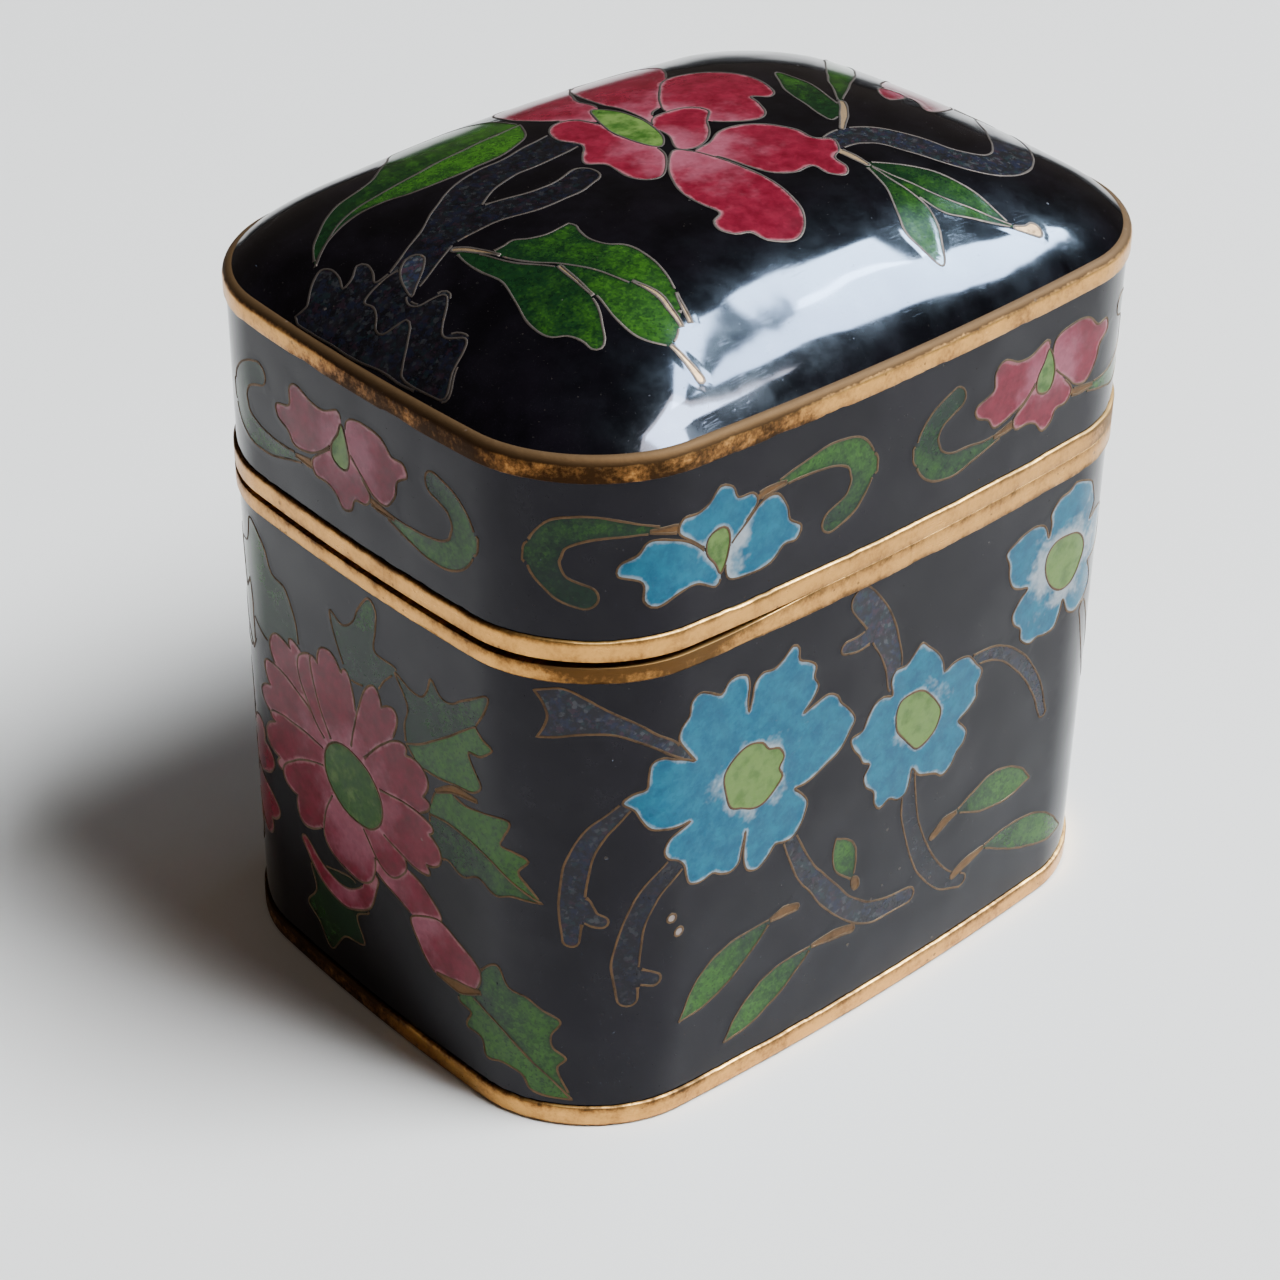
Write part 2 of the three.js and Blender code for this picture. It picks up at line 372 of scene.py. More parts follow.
dome_cells = [
    Cell("speckle", [
        smooth(ROCK, closed=True),
        blade([(-20.0, 1.4), (-18.5, 1.9), (-16, 2.8), (-14, 3.9), (-11.5, 5.1), (-8, 5.3), (-3.5, 5.8)],
              [2.4, 2.5, 2.8, 2.5, 2.2, 2.6, 2.7]),
        blade([(-16, 2.4), (-13.4, 1.9), (-11, 1.0), (-8.6, 0.8), (-6.9, 1.2)], [2.4, 2.1, 2.2, 1.9, 1.9]),
    ], tint=0.3),
    Cell("speckle", smooth(ROCK_FOLD, closed=True), tint=0.1),
    Cell("speckle", smooth([(-20.5, 0.0), (-20.2, 1.2), (-19.6, 2.2), (-18.8, 2.7), (-18.2, 2.5),
                            (-18.1, 1.9), (-18.8, 1.2), (-19.8, 0.5)], closed=True), tint=0.75),
    Cell("speckle", blade([(7.0, -4.8), (9, -4.6), (10.6, -5.4), (11.8, -7.2), (13, -9.3), (14.9, -10.7),
                           (16.9, -10.4), (19, -8.4), (21.3, -5.4), (23.5, -2.4)],
                          [1.6, 2.3, 2.5, 2.3, 2.3, 2.4, 2.6, 2.5, 2.4, 2.0]), tint=0.6),
    Cell("speckle", blade([(23.0, -2.6), (21.0, -0.9), (19.6, -1.6)], [1.8, 1.6, 1.2]), tint=0.7),
]


def dome_leaf(upper, lower, rib, tints):
    """A leaf of two cells that share a midrib. Both edges run from its first point to its last."""
    for edge, tint in ((upper, tints[0]), (lower, tints[1])):
        dome_cells.append(Cell("leaf", runs([rib[0], *edge, rib[-1]], rib[::-1]), heart=rib[0], tint=tint))


dome_leaf(
    upper=[(-20.2, 9.3), (-17.5, 11.0), (-14.5, 11.5), (-12, 13.3), (-9.2, 15.8), (-6.2, 15.6), (-4.6, 13)],
    lower=[(-20.0, 8.5), (-17.8, 8.9), (-16, 8.5), (-14.2, 7.6), (-11, 6.9), (-8, 7.0), (-5.6, 8.0)],
    rib=[(-21.6, 7.5), (-18, 9.4), (-13.5, 9.4), (-9, 9.6), (-4.4, 9.9)],
    tints=(0.36, 0.58),
)
dome_cells.append(Cell("leaf", runs(
    [(-16.8, 0.8), (-17.1, -0.5), (-17.2, -2.0), (-17.1, -3.4), (-17.3, -4.4), (-17.8, -5.8), (-18.3, -7.2),
     (-18.5, -8.4), (-18.3, -9.2), (-17.6, -9.8), (-17.3, -10.6), (-17.3, -11.4), (-16.9, -11.7),
     (-16.4, -11.4), (-15.8, -10.6), (-15.2, -9.6), (-14.8, -8.6), (-14.5, -7.2), (-14.3, -5.2)],
    [(-14.3, -5.2), (-14.9, -4.2), (-15.5, -3.2), (-15.9, -2.1), (-16.2, -1.0), (-16.8, 0.8)]),
    heart=(-16.8, 1.5), tint=0.22))
FRONT_RIB = [(-15.8, -1.2), (-15.4, -2.8), (-14.8, -4.0), (-14.0, -5.1), (-13.2, -6.6), (-12.7, -8.0),
             (-12.3, -9.4), (-12.1, -10.6), (-11.8, -12.4)]
dome_cells.append(Cell("leaf", runs(
    [(-14.2, -5.0), (-14.3, -7.0), (-14.5, -8.6), (-14.9, -10.4), (-15.0, -11.8), (-14.6, -12.9),
     (-13.9, -13.9)],
    [(-13.9, -13.9), (-13.2, -13.7), (-12.5, -13.1), (-11.8, -12.4)], FRONT_RIB[:2:-1]),
                       heart=(-14.0, -4.4), tint=0.55))
dome_cells.append(Cell("leaf", runs(
    [(-15.8, -1.2), (-15.0, -1.3), (-14.3, -1.3), (-13.6, -1.9), (-12.8, -2.3), (-11.8, -2.4),
     (-11.1, -2.4)],
    [(-11.1, -2.4), (-11.0, -2.9), (-11.3, -3.5), (-11.4, -4.4), (-11.0, -5.5), (-10.4, -6.2),
     (-10.1, -7.0), (-10.1, -8.0), (-10.3, -9.2), (-10.7, -10.4), (-11.1, -11.4), (-11.8, -12.4)],
                                    FRONT_RIB[::-1]),
    heart=(-15.8, -0.6), tint=0.45))
dome_leaf(
    upper=[(8.3, -8.2), (9.7, -9.3), (10.7, -10.7), (11.4, -13.0), (11.7, -15.1)],
    lower=[(7.2, -9.4), (7.5, -11.2), (8.0, -13.0), (9.4, -14.0)],
    rib=[(7.1, -7.4), (7.9, -10.0), (9.3, -12.6), (12.2, -15.7)],
    tints=(0.45, 0.6),
)
dome_cells += [
    Cell("leaf", smooth([(7.1, -7.6), (6.4, -10.0), (5.2, -12.3), (4.5, -13.9), (5.1, -16.0), (6.4, -14.6),
                         (7.4, -12.6), (7.3, -10.0)], closed=True), heart=(7, -7), tint=0.55),
    Cell("leaf", smooth([(9.6, -2.2), (10.1, 0.4), (10.8, 2.8), (12.8, 5.8), (13.1, 3.2), (12.4, 0.8),
                         (11.3, -1.4)], closed=True), heart=(9.6, -2), tint=0.3),
    Cell("leaf", blade([(12.2, -0.5), (15, 2.3), (18, 5.2), (21, 8.3), (23.4, 10.9)],
                       [0.1, 1.3, 1.9, 1.8, 0.9]),
         heart=(12, -1), tint=0.62),
    Cell("gold", blade([(9.3, -3.5), (10.8, -2.2), (12.4, -0.4)], [0.3, 0.5, 0.4])),
    Cell("gold", blade([(6.9, -5.6), (7.1, -6.6), (7.2, -7.8)], [0.5, 0.5, 0.3])),
    Cell("gold", blade([(11.9, -15.5), (12.5, -15.8), (13.0, -15.9)], [0.3, 0.5, 0.9])),
    Cell("gold", blade([(-16.8, 0.8), (-16.4, 0.2), (-16.0, -0.8), (-15.6, -1.8)],
                       [0.35, 0.35, 0.25, 0.1])),
    Cell("gold", blade([(-14.2, -5.2), (-14.4, -7.0), (-14.6, -8.4)], [0.25, 0.2, 0.1])),
    Cell("gold", blade([(-13.8, -13.9), (-13.7, -15.0), (-13.7, -16.1)], [0.2, 0.3, 0.5])),
    Cell("gold", blade([(-12.4, -13.2), (-12.1, -12.0), (-11.9, -10.8), (-12.2, -9.0)],
                       [0.2, 0.3, 0.3, 0.1])),
    Cell("gold", blade([(-11.8, -13.2), (-11.4, -12.2), (-11.0, -11.2)], [0.25, 0.2, 0.1])),
]
print(len(dome_cells), "cells under the peony")

# %% Dome: the peony
PEONY_HEART = (-0.6, 0.8)
peony = [
    [(0.2, 0.8), (1.0, 5.6), (0.8, 8.6), (1.4, 11.4), (3.4, 14.2), (5.8, 15.4), (8.0, 14.8), (8.8, 12.6),
     (8.0, 10.6), (6.4, 8.8), (4.8, 7.4), (3.4, 5.7), (1.6, 4.8)],
    [(-1.1, 6.2), (-2.4, 7.8), (-3.5, 9.4), (-3.9, 11.4), (-3.3, 13.6), (-1.6, 15.4), (0.8, 16.4),
     (3.2, 16.6), (4.4, 15.7), (3.2, 14.2), (1.5, 12.0), (0.4, 10.2), (0.4, 8.6), (-0.2, 7.4)],
    [(2.6, 4.8), (4.4, 7.2), (6.2, 8.9), (8.3, 8.9), (10.0, 7.7), (10.7, 6.1), (10.6, 4.5), (10.0, 3.0),
     (9.1, 2.5), (8.2, 3.1), (7.8, 2.0), (7.1, 0.8), (6.2, 0.3), (5.0, 0.7), (3.6, 2.0)],
    [(-2.0, 7.4), (-3.2, 8.0), (-4.3, 7.2), (-4.8, 5.9), (-4.3, 4.3), (-5.3, 3.2), (-5.8, 2.2),
     (-5.0, 1.3), (-5.2, -0.4), (-4.8, -1.5), (-3.9, -1.95), (-2.9, -1.4), (-1.6, 0.1), (-1.2, 1.6),
     (-1.4, 4.6)],
    [(-0.5, 0.2), (0.3, 1.8), (0.6, 3.5), (1.4, 4.5), (2.8, 4.6), (4.2, 4.1), (4.6, 3.1), (3.6, 2.1),
     (2.7, 0.9), (1.6, 0.0), (0.4, -0.3)],
    [(0.0, -0.7), (1.6, -0.3), (2.9, 0.4), (4.6, 0.3), (6.0, -0.7), (6.9, -2.2), (6.9, -3.5), (7.7, -4.4),
     (7.0, -5.6), (6.1, -6.2), (5.9, -7.4), (5.1, -8.0), (4.4, -7.3), (4.2, -6.2), (2.8, -6.2),
     (1.6, -5.4), (1.1, -4.0), (0.7, -2.2)],
    [(-0.9, 0.2), (-2.3, -1.0), (-3.4, -2.4), (-4.1, -4.2), (-4.2, -5.8), (-4.0, -7.1), (-4.9, -7.6),
     (-5.2, -8.4), (-4.7, -9.3), (-3.9, -9.6), (-3.5, -10.6), (-2.5, -11.3), (-1.4, -11.2), (-0.3, -10.2),
     (0.6, -8.4), (0.95, -6.4), (0.8, -4.0), (0.4, -1.8), (-0.2, -0.4)],
]
PEONY_TINTS = (0.35, 0.45, 0.45, 0.25, 0.3, 0.3, 0.35)
for outline, tint in zip(peony, PEONY_TINTS):
    dome_cells.append(Cell("pink", smooth(outline, closed=True), heart=PEONY_HEART, tint=tint))
dome_cells.append(Cell("lime", smooth([(-0.2, 8.1), (-1.2, 6.6), (-1.8, 4.6), (-1.8, 2.8), (-1.1, 1.2),
                                       (-0.3, 1.6), (0.4, 3.0), (0.7, 4.8), (0.6, 6.6)], closed=True),
                       heart=(-0.9, 2), tint=0.5))
dome_cells += [
    Cell("pink", smooth([(17.3, -3.1), (19.6, -2.6), (22.0, -0.8), (24.0, 2.0), (24.1, 6.4), (22.3, 5.0),
                         (20.3, 3.5), (18.4, 2.0), (17.6, 0.6), (18.2, -1.0)], closed=True), heart=(24, 4),
         tint=0.5),
    Cell("pink", smooth([(16.0, -1.0), (17.6, -0.8), (18.2, 0.2), (17.5, 1.3), (16.4, 0.3)], closed=True),
         heart=(18, 0), tint=0.4),
]
print(len(dome_cells), "cells on the dome")

# %% [markdown]
# ## Motifs of the lid's skirt
# Round the lid's wall one spray repeats: a three petalled flower between two scrolled leaves.
# Every second spray is turned upside down and has red petals in place of turquoise ones. On
# the walls, u runs round the box and z is the height.

# %% Skirt: sprays
SPRAYS = 6
FIRST_SPRAY = 8.5  # running length at the middle of the first flower
SPRAY_LEVEL = 40.35


def spray(u, enamel, up):
    """Cells of one spray. `up` is 1, or -1 for one that hangs upside down."""
    def at(points):
        return np.asarray(points, float) * np.array([1, up]) + np.array([u, SPRAY_LEVEL])

    cells = []
    for side in (-1, 1):
        scroll = np.array([(3.4, 1.65), (6.0, 2.1), (8.4, 2.2), (10.0, 1.5), (10.5, 0.0), (9.7, -1.4),
                           (8.2, -2.1)])
        widths = [0.3, 0.7, 1.4, 1.8, 2.0, 1.5, 1.5]
        bump = np.array([(10.6, 1.0), (11.2, 0.3), (11.6, -0.2)])
        stretch = np.array([side, 1])
        cells.append(Cell("leaf", [at(blade(scroll * stretch, widths)), at(blade(bump * stretch, [1.2, 1.3,
                                                                                                  0.2]))],
                          heart=at([(8 * side, -2)])[0], tint=0.3 + 0.25 * (side > 0)))
        cells.append(Cell("gold", at(blade(np.array([(2.0, 1.2), (3.0, 1.6), (4.6, 1.75)]) * stretch,
                                           [0.3, 0.5, 0.2]))))
    top = [(-2.9, 1.3), (-2.6, 2.1), (-1.6, 2.1), (-0.8, 2.4), (-0.1, 3.2), (0.7, 2.9), (1.1, 2.1),
           (2.1, 1.95), (2.5, 1.2), (1.6, 0.2), (0.7, -0.8), (-0.6, -0.6), (-1.9, 0.4)]
    left = [(-3.6, 1.05), (-4.7, 1.1), (-5.3, 0.4), (-6.3, -0.1), (-6.4, -0.9), (-5.0, -1.4), (-4.9, -2.6),
            (-4.2, -3.1), (-2.8, -2.6), (-1.6, -2.5), (-0.3, -3.1), (0.0, -2.4), (-0.7, -1.0), (-2.1, 0.4)]
    right = [(2.9, 1.1), (4.0, 1.2), (4.8, 0.1), (5.0, -0.8), (5.9, -1.5), (5.6, -2.3), (4.6, -2.3),
             (3.7, -3.1), (2.3, -3.3), (0.7, -3.0), (0.35, -2.0), (0.8, -0.7), (1.9, 0.3)]
    for k, points in enumerate((top, left, right)):
        cells.append(Cell(enamel, at(smooth(points, closed=True)), heart=at([(0, -0.8)])[0], reach=4.5,
                          tint=0.3 + 0.2 * k))
    cells.append(Cell("lime", at(smooth([(-0.2, 0.55), (-0.9, 0.2), (-0.95, -0.7), (-0.4, -1.6),
                                         (0.0, -2.4), (0.45, -1.5), (0.65, -0.4), (0.4, 0.4)],
                                        closed=True)), tint=0.6))
    return cells


skirt_cells = []
for k in range(-3, SPRAYS - 3):
    skirt_cells += spray(FIRST_SPRAY + GIRTH * k / SPRAYS, ("turquoise", "pink")[k % 2], (1, -1)[k % 2])
print(len(skirt_cells), "cells on the skirt")

# %% [markdown]
# ## Motifs of the base
# The base has a scene of its own on every side. The front has turquoise flowers on hanging
# branches with pointed buds, the left end has a large red peony among toothed leaves, and
# the two sides behind follow in the same manner. One rule draws a whole flower: a radius
# that dips between its petals.

# %% Base: helpers for flowers, buds and leaves
base_cells = []
BASE_SEAM = 80.6  # running length at which the flat drawing of the base starts and ends


def add(enamel, outlines, **more):
    """Adds a cell to the base. What lies beyond the seam is moved one girth back."""
    cell = Cell(enamel, outlines, **more)
    if cell.outlines[0][:, 0].mean() > BASE_SEAM:
        cell.outlines = [outline - [GIRTH, 0] for outline in cell.outlines]
        cell.heart = cell.heart - [GIRTH, 0]
    base_cells.append(cell)


def turquoise_flower(heart, petals, notch, centre, tint=0.5):
    add("turquoise", flower(heart, petals, notch), heart=heart, tint=tint)
    lobes = [(60 * k, 60, centre, 1) for k in range(6, 0, -1)]
    add("lime", flower(heart, lobes, 0.88), heart=heart, tint=0.8)


def red_peony(heart, petals, centre, lean):
    """Petals as (direction, reach, width, lobes, tint), the lowest first, round an oval centre."""
    for direction, reach, width, lobes, tint in petals:
        add("pink", petal(heart, direction, reach, width, lobes), heart=heart, reach=reach, tint=tint)
    oval = dot((0, 0), 1) * np.array(centre, float)
    add("lime", turned(oval, lean, heart), heart=heart, tint=0.2)


def bud(tip, base, width, stem):
    """A pointed green bud and the gold stem that it hangs from."""
    middle = (np.array(tip, float) + base) / 2 + [0, 0.06 * np.linalg.norm(np.subtract(tip, base))]
    add("leaf", blade([tip, middle, base], np.array([0.02, 0.6, 0.92, 1.0, 0.85, 0.5, 0.06]) * width),
        heart=base, tint=0.65)
    reach = (np.array(base, float) + stem) / 2 + [0, 0.15]
    add("gold", blade([base, reach, stem], [0.25, 0.7, 0.55]))


def toothed_leaf(base, tip, width, teeth, bend=0.08, tints=(0.2, 0.6)):
    for half, tint in zip(leaf_halves(base, tip, width, teeth, bend), tints):
        add("leaf", half, heart=base, tint=tint)


def branch(points, widths, spur=None, tint=0.6):
    """A speckled branch, with one short spur given as points."""
    outlines = [blade(points, widths)]
    if spur:
        outlines.append(blade(spur, [1.3, 1.1, 0.9]))
    add("speckle", outlines, tint=tint)


def drawn_flower(outline, heart, centre, tint=0.5):
    """A flower and its centre, both drawn point by point."""
    add("turquoise", smooth(outline, closed=True), heart=heart, reach=8, tint=tint)
    add("lime", smooth(centre, closed=True), tint=0.8)


def drawn_leaf(upper, lower, rib, tints):
    """A leaf of two cells on one midrib, with teeth drawn point by point."""
    for edge, tint in ((upper, tints[0]), (lower, tints[1])):
        add("leaf", runs([rib[0], *edge, rib[-1]], rib[::-1]), heart=rib[0], tint=tint)


print("tools for flowers, buds, branches and leaves ready")

# %% Base: front
add("speckle", runs([(-2.6, 31.9), (-2.1, 31.2), (-1.8, 30.3), (-2.0, 29.5), (-2.4, 28.7)],
                    [(-2.4, 28.7), (-1.2, 28.9), (0.4, 29.1), (2.0, 29.0), (3.6, 28.2), (5.2, 27.1),
                     (7.2, 25.7)],
                    [(7.2, 25.7), (5.8, 27.6), (4.4, 28.7), (3.0, 29.8), (1.6, 30.8), (0.3, 31.6),
                     (-1.0, 32.1), (-2.6, 31.9)]), tint=0.8)
branch([(2.7, 24.0), (1.0, 22.2), (-0.1, 19.8), (-0.4, 17.0), (-0.5, 14.4)], [0.8, 1.2, 1.5, 1.6, 1.0],
       spur=[(0.2, 17.0), (0.7, 16.1), (1.3, 15.8)])
branch([(5.9, 19.0), (4.2, 17.4), (3.2, 15.2), (2.8, 12.8), (2.9, 9.8)], [1.4, 1.4, 1.4, 1.7, 1.2],
       spur=[(3.1, 11.5), (3.9, 11.2), (4.5, 10.9)], tint=0.4)
branch([(14.6, 17.0), (15.8, 14.2), (17.6, 11.5), (19.8, 8.9), (22.2, 7.3), (25.4, 6.9)],
       [1.0, 1.3, 1.5, 1.5, 1.6, 1.2])
branch([(24.8, 16.4), (25.0, 13.6), (25.8, 11.0), (27.0, 8.5), (28.8, 6.4), (30.6, 5.4)],
       [1.0, 1.3, 1.4, 1.5, 1.4, 1.0], tint=0.3)
branch([(19.6, 31.7), (20.7, 30.3), (21.8, 28.2), (22.6, 26.2), (22.8, 24.4)], [1.7, 1.9, 1.9, 1.5, 1.0],
       spur=[(20.9, 29.0), (19.6, 28.7), (18.6, 28.8)], tint=0.9)
branch([(29.6, 22.8), (32.2, 22.4), (34.8, 20.4), (36.6, 17.8), (37.6, 15.2)], [0.8, 1.0, 1.1, 1.0, 0.7])
branch([(41.5, 21.4), (43.0, 18.0), (44.8, 15.0), (47.4, 12.6)], [1.0, 1.4, 1.6, 1.2], tint=0.4)
drawn_flower([
    (5.9, 27.8), (6.1, 28.6), (6.7, 29.2), (6.8, 30.1), (7.4, 30.5), (8.1, 30.2), (8.9, 29.7), (9.4, 30.3),
    (10.1, 30.5), (10.8, 30.2), (11.0, 29.4), (10.9, 28.4), (11.0, 27.6), (11.2, 28.4), (11.4, 29.4),
    (12.0, 29.9), (12.8, 29.8), (13.5, 30.2), (14.2, 30.8), (14.7, 30.4), (14.8, 29.6), (15.5, 29.2),
    (16.1, 28.6), (16.0, 27.9), (16.4, 27.2), (16.0, 26.4), (15.3, 25.7), (16.2, 25.9), (17.2, 26.1),
    (18.0, 25.7), (18.3, 25.1), (18.9, 24.4), (19.6, 23.4), (19.2, 22.6), (18.5, 21.6), (17.6, 21.1),
    (16.6, 20.6), (15.7, 20.4), (14.9, 20.4), (15.4, 19.8), (15.9, 19.0), (15.8, 18.2), (15.5, 17.4),
    (14.9, 16.7), (14.1, 16.7), (13.5, 16.9), (12.9, 16.2), (12.1, 15.7), (11.3, 16.0), (11.0, 16.8),
    (11.0, 17.8), (11.1, 19.0), (10.8, 17.7), (10.6, 16.9), (10.0, 16.5), (9.2, 16.7), (8.6, 17.1),
    (7.8, 16.9), (7.0, 17.1), (6.7, 17.8), (6.5, 18.6), (6.0, 19.2), (5.4, 19.6), (5.1, 20.2), (5.4, 20.9),
    (6.0, 21.3), (6.9, 21.7), (6.0, 21.7), (5.2, 21.8), (4.2, 22.1), (3.6, 22.9), (3.2, 23.7), (2.5, 24.3),
    (3.1, 24.8), (3.9, 25.0), (4.0, 25.8), (4.2, 26.7), (4.9, 26.9), (5.6, 26.6), (6.5, 26.2), (7.1, 25.9),
    (6.5, 26.8)], (11.5, 22.9), [
    (9.3, 23.4), (9.5, 24.2), (10.2, 24.9), (11.2, 25.2), (12.2, 24.9), (12.7, 24.2), (13.5, 23.9),
    (13.9, 23.2), (13.5, 22.5), (13.8, 21.8), (13.2, 21.0), (12.3, 20.5), (11.4, 20.5), (10.6, 20.9),
    (9.9, 21.3), (9.5, 22.3)])
drawn_flower([
    (22.6, 24.6), (22.9, 25.3), (23.8, 25.3), (24.4, 25.8), (25.1, 26.3), (25.8, 25.7), (26.6, 24.9),
    (27.1, 24.1), (27.3, 23.2), (27.9, 23.4), (28.7, 23.5), (29.6, 23.3), (30.3, 22.4), (30.9, 21.6),
    (30.5, 20.7), (30.6, 19.9), (29.9, 19.2), (29.0, 18.8), (29.4, 18.3), (29.9, 17.6), (29.7, 16.8),
    (29.2, 16.4), (28.7, 15.6), (27.9, 15.2), (27.2, 15.6), (26.4, 15.9), (25.6, 16.3), (25.0, 17.1),
    (24.8, 16.2), (24.5, 15.4), (23.8, 15.3), (23.0, 15.7), (22.2, 15.4), (21.7, 16.0), (21.6, 16.9),
    (20.9, 17.6), (20.7, 18.4), (21.1, 19.2), (20.5, 19.6), (20.2, 20.3), (19.7, 21.0), (19.4, 21.9),
    (20.3, 22.1), (20.7, 22.9), (21.2, 23.6), (22.0, 23.8), (22.7, 23.6)], (25.2, 20.9), [
    (23.2, 22.0), (23.5, 22.7), (24.4, 22.9), (25.3, 22.7), (26.1, 22.1), (26.8, 21.3), (27.3, 20.3),
    (27.0, 19.3), (26.2, 18.7), (25.3, 18.5), (24.6, 19.1), (24.0, 19.8), (23.4, 20.6), (23.2, 21.3)],
    tint=0.35)
drawn_flower([
    (32.4, 29.5), (33.2, 29.9), (34.0, 30.2), (35.0, 30.3), (35.9, 29.9), (36.4, 28.9), (36.6, 29.7),
    (36.5, 30.5), (37.3, 31.3), (38.2, 31.5), (38.9, 31.9), (39.9, 31.6), (40.8, 31.1), (41.2, 30.2),
    (41.5, 29.2), (41.0, 28.3), (42.2, 28.4), (43.6, 28.0), (44.6, 27.2), (44.6, 26.2), (43.8, 25.3),
    (42.6, 25.0), (41.5, 24.9), (41.9, 24.2), (42.3, 23.2), (41.8, 22.4), (40.9, 22.0), (40.0, 21.8),
    (39.2, 22.3), (38.6, 23.4), (38.3, 22.4), (37.9, 21.6), (37.0, 21.5), (36.2, 21.7), (35.4, 21.5),
    (34.6, 22.2), (34.4, 23.1), (33.7, 23.7), (33.4, 24.5), (34.0, 25.3), (34.8, 25.9), (34.0, 26.3),
    (33.2, 26.8), (32.8, 27.6), (32.7, 28.6)], (38.4, 26.3), [
    (36.5, 27.6), (37.2, 28.2), (38.4, 28.2), (39.6, 27.9), (40.3, 27.2), (40.5, 26.2), (40.0, 25.2),
    (39.2, 24.4), (38.3, 24.3), (37.4, 24.8), (36.8, 25.6), (36.4, 26.6)], tint=0.6)
for centre in ((5.7, 15.1), (6.2, 13.9)):
    add("cream", dot(centre, 0.32))
bud((6.4, 6.8), (13.4, 11.2), 2.7, stem=(15.4, 11.2))
bud((10.0, 3.3), (17.0, 7.3), 2.4, stem=(20.4, 6.9))
bud((37.0, 10.4), (29.6, 11.4), 2.8, stem=(27.4, 10.6))
bud((41.6, 3.8), (32.6, 7.0), 2.5, stem=(29.8, 6.2))
bud((18.6, 14.8), (20.2, 10.9), 1.9, stem=(20.6, 10.2))
print(len(base_cells), "cells on the base so far")

# %% Base: left end
add("leaf", smooth([(-18.0, 25.4), (-19.2, 27.2), (-19.7, 29.3), (-18.5, 28.9), (-17.5, 29.6),
                    (-16.8, 30.8), (-15.8, 32.0), (-15.2, 31.5), (-15.3, 30.0), (-15.4, 28.5),
                    (-13.5, 28.3), (-14.6, 26.9), (-15.6, 25.8)], closed=True), heart=(-17, 25), tint=0.25)
add("leaf", smooth([(-23.6, 24.2), (-23.4, 26.4), (-24.4, 28.4), (-25.8, 28.8), (-26.8, 30.6),
                    (-28.2, 31.6), (-29.0, 29.6), (-30.6, 28.8), (-30.2, 26.6), (-31.6, 24.6),
                    (-29.2, 24.6), (-26.6, 23.4)], closed=True),
    heart=(-25, 23), tint=0.3)
add("leaf", smooth([(-18.6, 9.8), (-17.2, 8.2), (-18.4, 7.0), (-17.8, 5.2), (-19.8, 4.6), (-21.4, 2.6),
                    (-22.6, 4.0), (-23.8, 5.0), (-22.8, 6.6), (-23.2, 8.6), (-21.2, 9.2)], closed=True),
    heart=(-19, 10), tint=0.12)
drawn_leaf(upper=[(-12.9, 24.7), (-12.5, 26.0), (-12.8, 26.9), (-13.6, 28.0), (-12.2, 27.5), (-11.2, 27.5),
                  (-10.7, 28.2), (-10.3, 29.2), (-9.5, 28.4), (-8.6, 28.4), (-7.6, 29.1), (-5.7, 30.3),
                  (-5.9, 29.2)],
           lower=[(-11.6, 22.5), (-10.0, 22.5), (-8.4, 22.7), (-7.0, 23.0), (-6.2, 23.8), (-6.8, 24.8),
                  (-7.2, 25.7), (-6.2, 25.9), (-5.3, 26.7), (-6.0, 27.2)],
           rib=[(-12.8, 23.4), (-11.0, 24.3), (-9.4, 25.5), (-8.0, 26.7), (-6.6, 27.8)], tints=(0.3, 0.95))
drawn_leaf(upper=[(-10.2, 21.4), (-9.0, 21.9), (-7.6, 21.7), (-6.2, 22.0), (-4.2, 22.1), (-4.6, 20.9),
                  (-4.8, 20.2), (-3.9, 20.1), (-3.0, 19.7), (-3.6, 18.8), (-3.2, 18.1)],
           lower=[(-10.8, 17.6), (-10.3, 16.4), (-9.2, 16.8), (-8.0, 16.3), (-6.6, 17.0), (-5.2, 16.4),
                  (-4.0, 16.8)],
           rib=[(-10.8, 19.4), (-8.6, 19.6), (-6.0, 19.0), (-4.0, 17.8), (-2.1, 16.8)], tints=(0.95, 0.45))
drawn_leaf(upper=[(-7.2, 8.9), (-6.4, 10.2), (-5.2, 11.1), (-4.4, 9.8), (-3.2, 9.5), (-2.2, 8.8),
                  (-1.1, 8.1), (-1.7, 7.0), (-1.6, 6.0), (-0.8, 5.2), (-1.3, 4.2)],
           lower=[(-8.6, 6.6), (-7.5, 6.1), (-7.9, 4.9), (-6.6, 4.7), (-6.2, 3.4), (-5.0, 3.7),
                  (-3.6, 3.3), (-2.8, 2.2)],
           rib=[(-8.2, 7.7), (-5.6, 6.8), (-3.2, 4.9), (-0.4, 2.0)], tints=(0.6, 0.95))
add("gold", blade([(-10.2, 21.4), (-8.8, 22.2), (-6.6, 22.6)], [0.2, 0.5, 0.2]))
add("pink", blade([(-23.8, 9.9), (-21.8, 8.3), (-19.6, 7.9), (-17.6, 9.0), (-16.4, 11.2)],
                  [0.7, 1.4, 1.6, 1.4, 0.8]),
    tint=0.2)
add("pink", smooth([(-16.4, 12.2), (-14.6, 13.8), (-12.4, 13.8), (-10.9, 12.9), (-10.0, 11.7),
                    (-11.6, 10.6), (-13.6, 10.9)],
                   closed=True), heart=(-16, 13), tint=0.3)
add("pink", smooth([(-12.8, 10.4), (-10.4, 11.6), (-8.4, 11.0), (-6.7, 9.9), (-7.0, 8.4), (-8.8, 7.3),
                    (-10.8, 7.3), (-12.2, 8.8)], closed=True), heart=(-13, 11), tint=0.25)
add("gold", blade([(-10.6, 7.3), (-8.6, 7.5), (-6.7, 8.2)], [0.2, 0.8, 0.2]))
toothed_leaf((-29.2, 21.6), (-34.6, 30.4), 6.4, 3, tints=(0.35, 0.6))
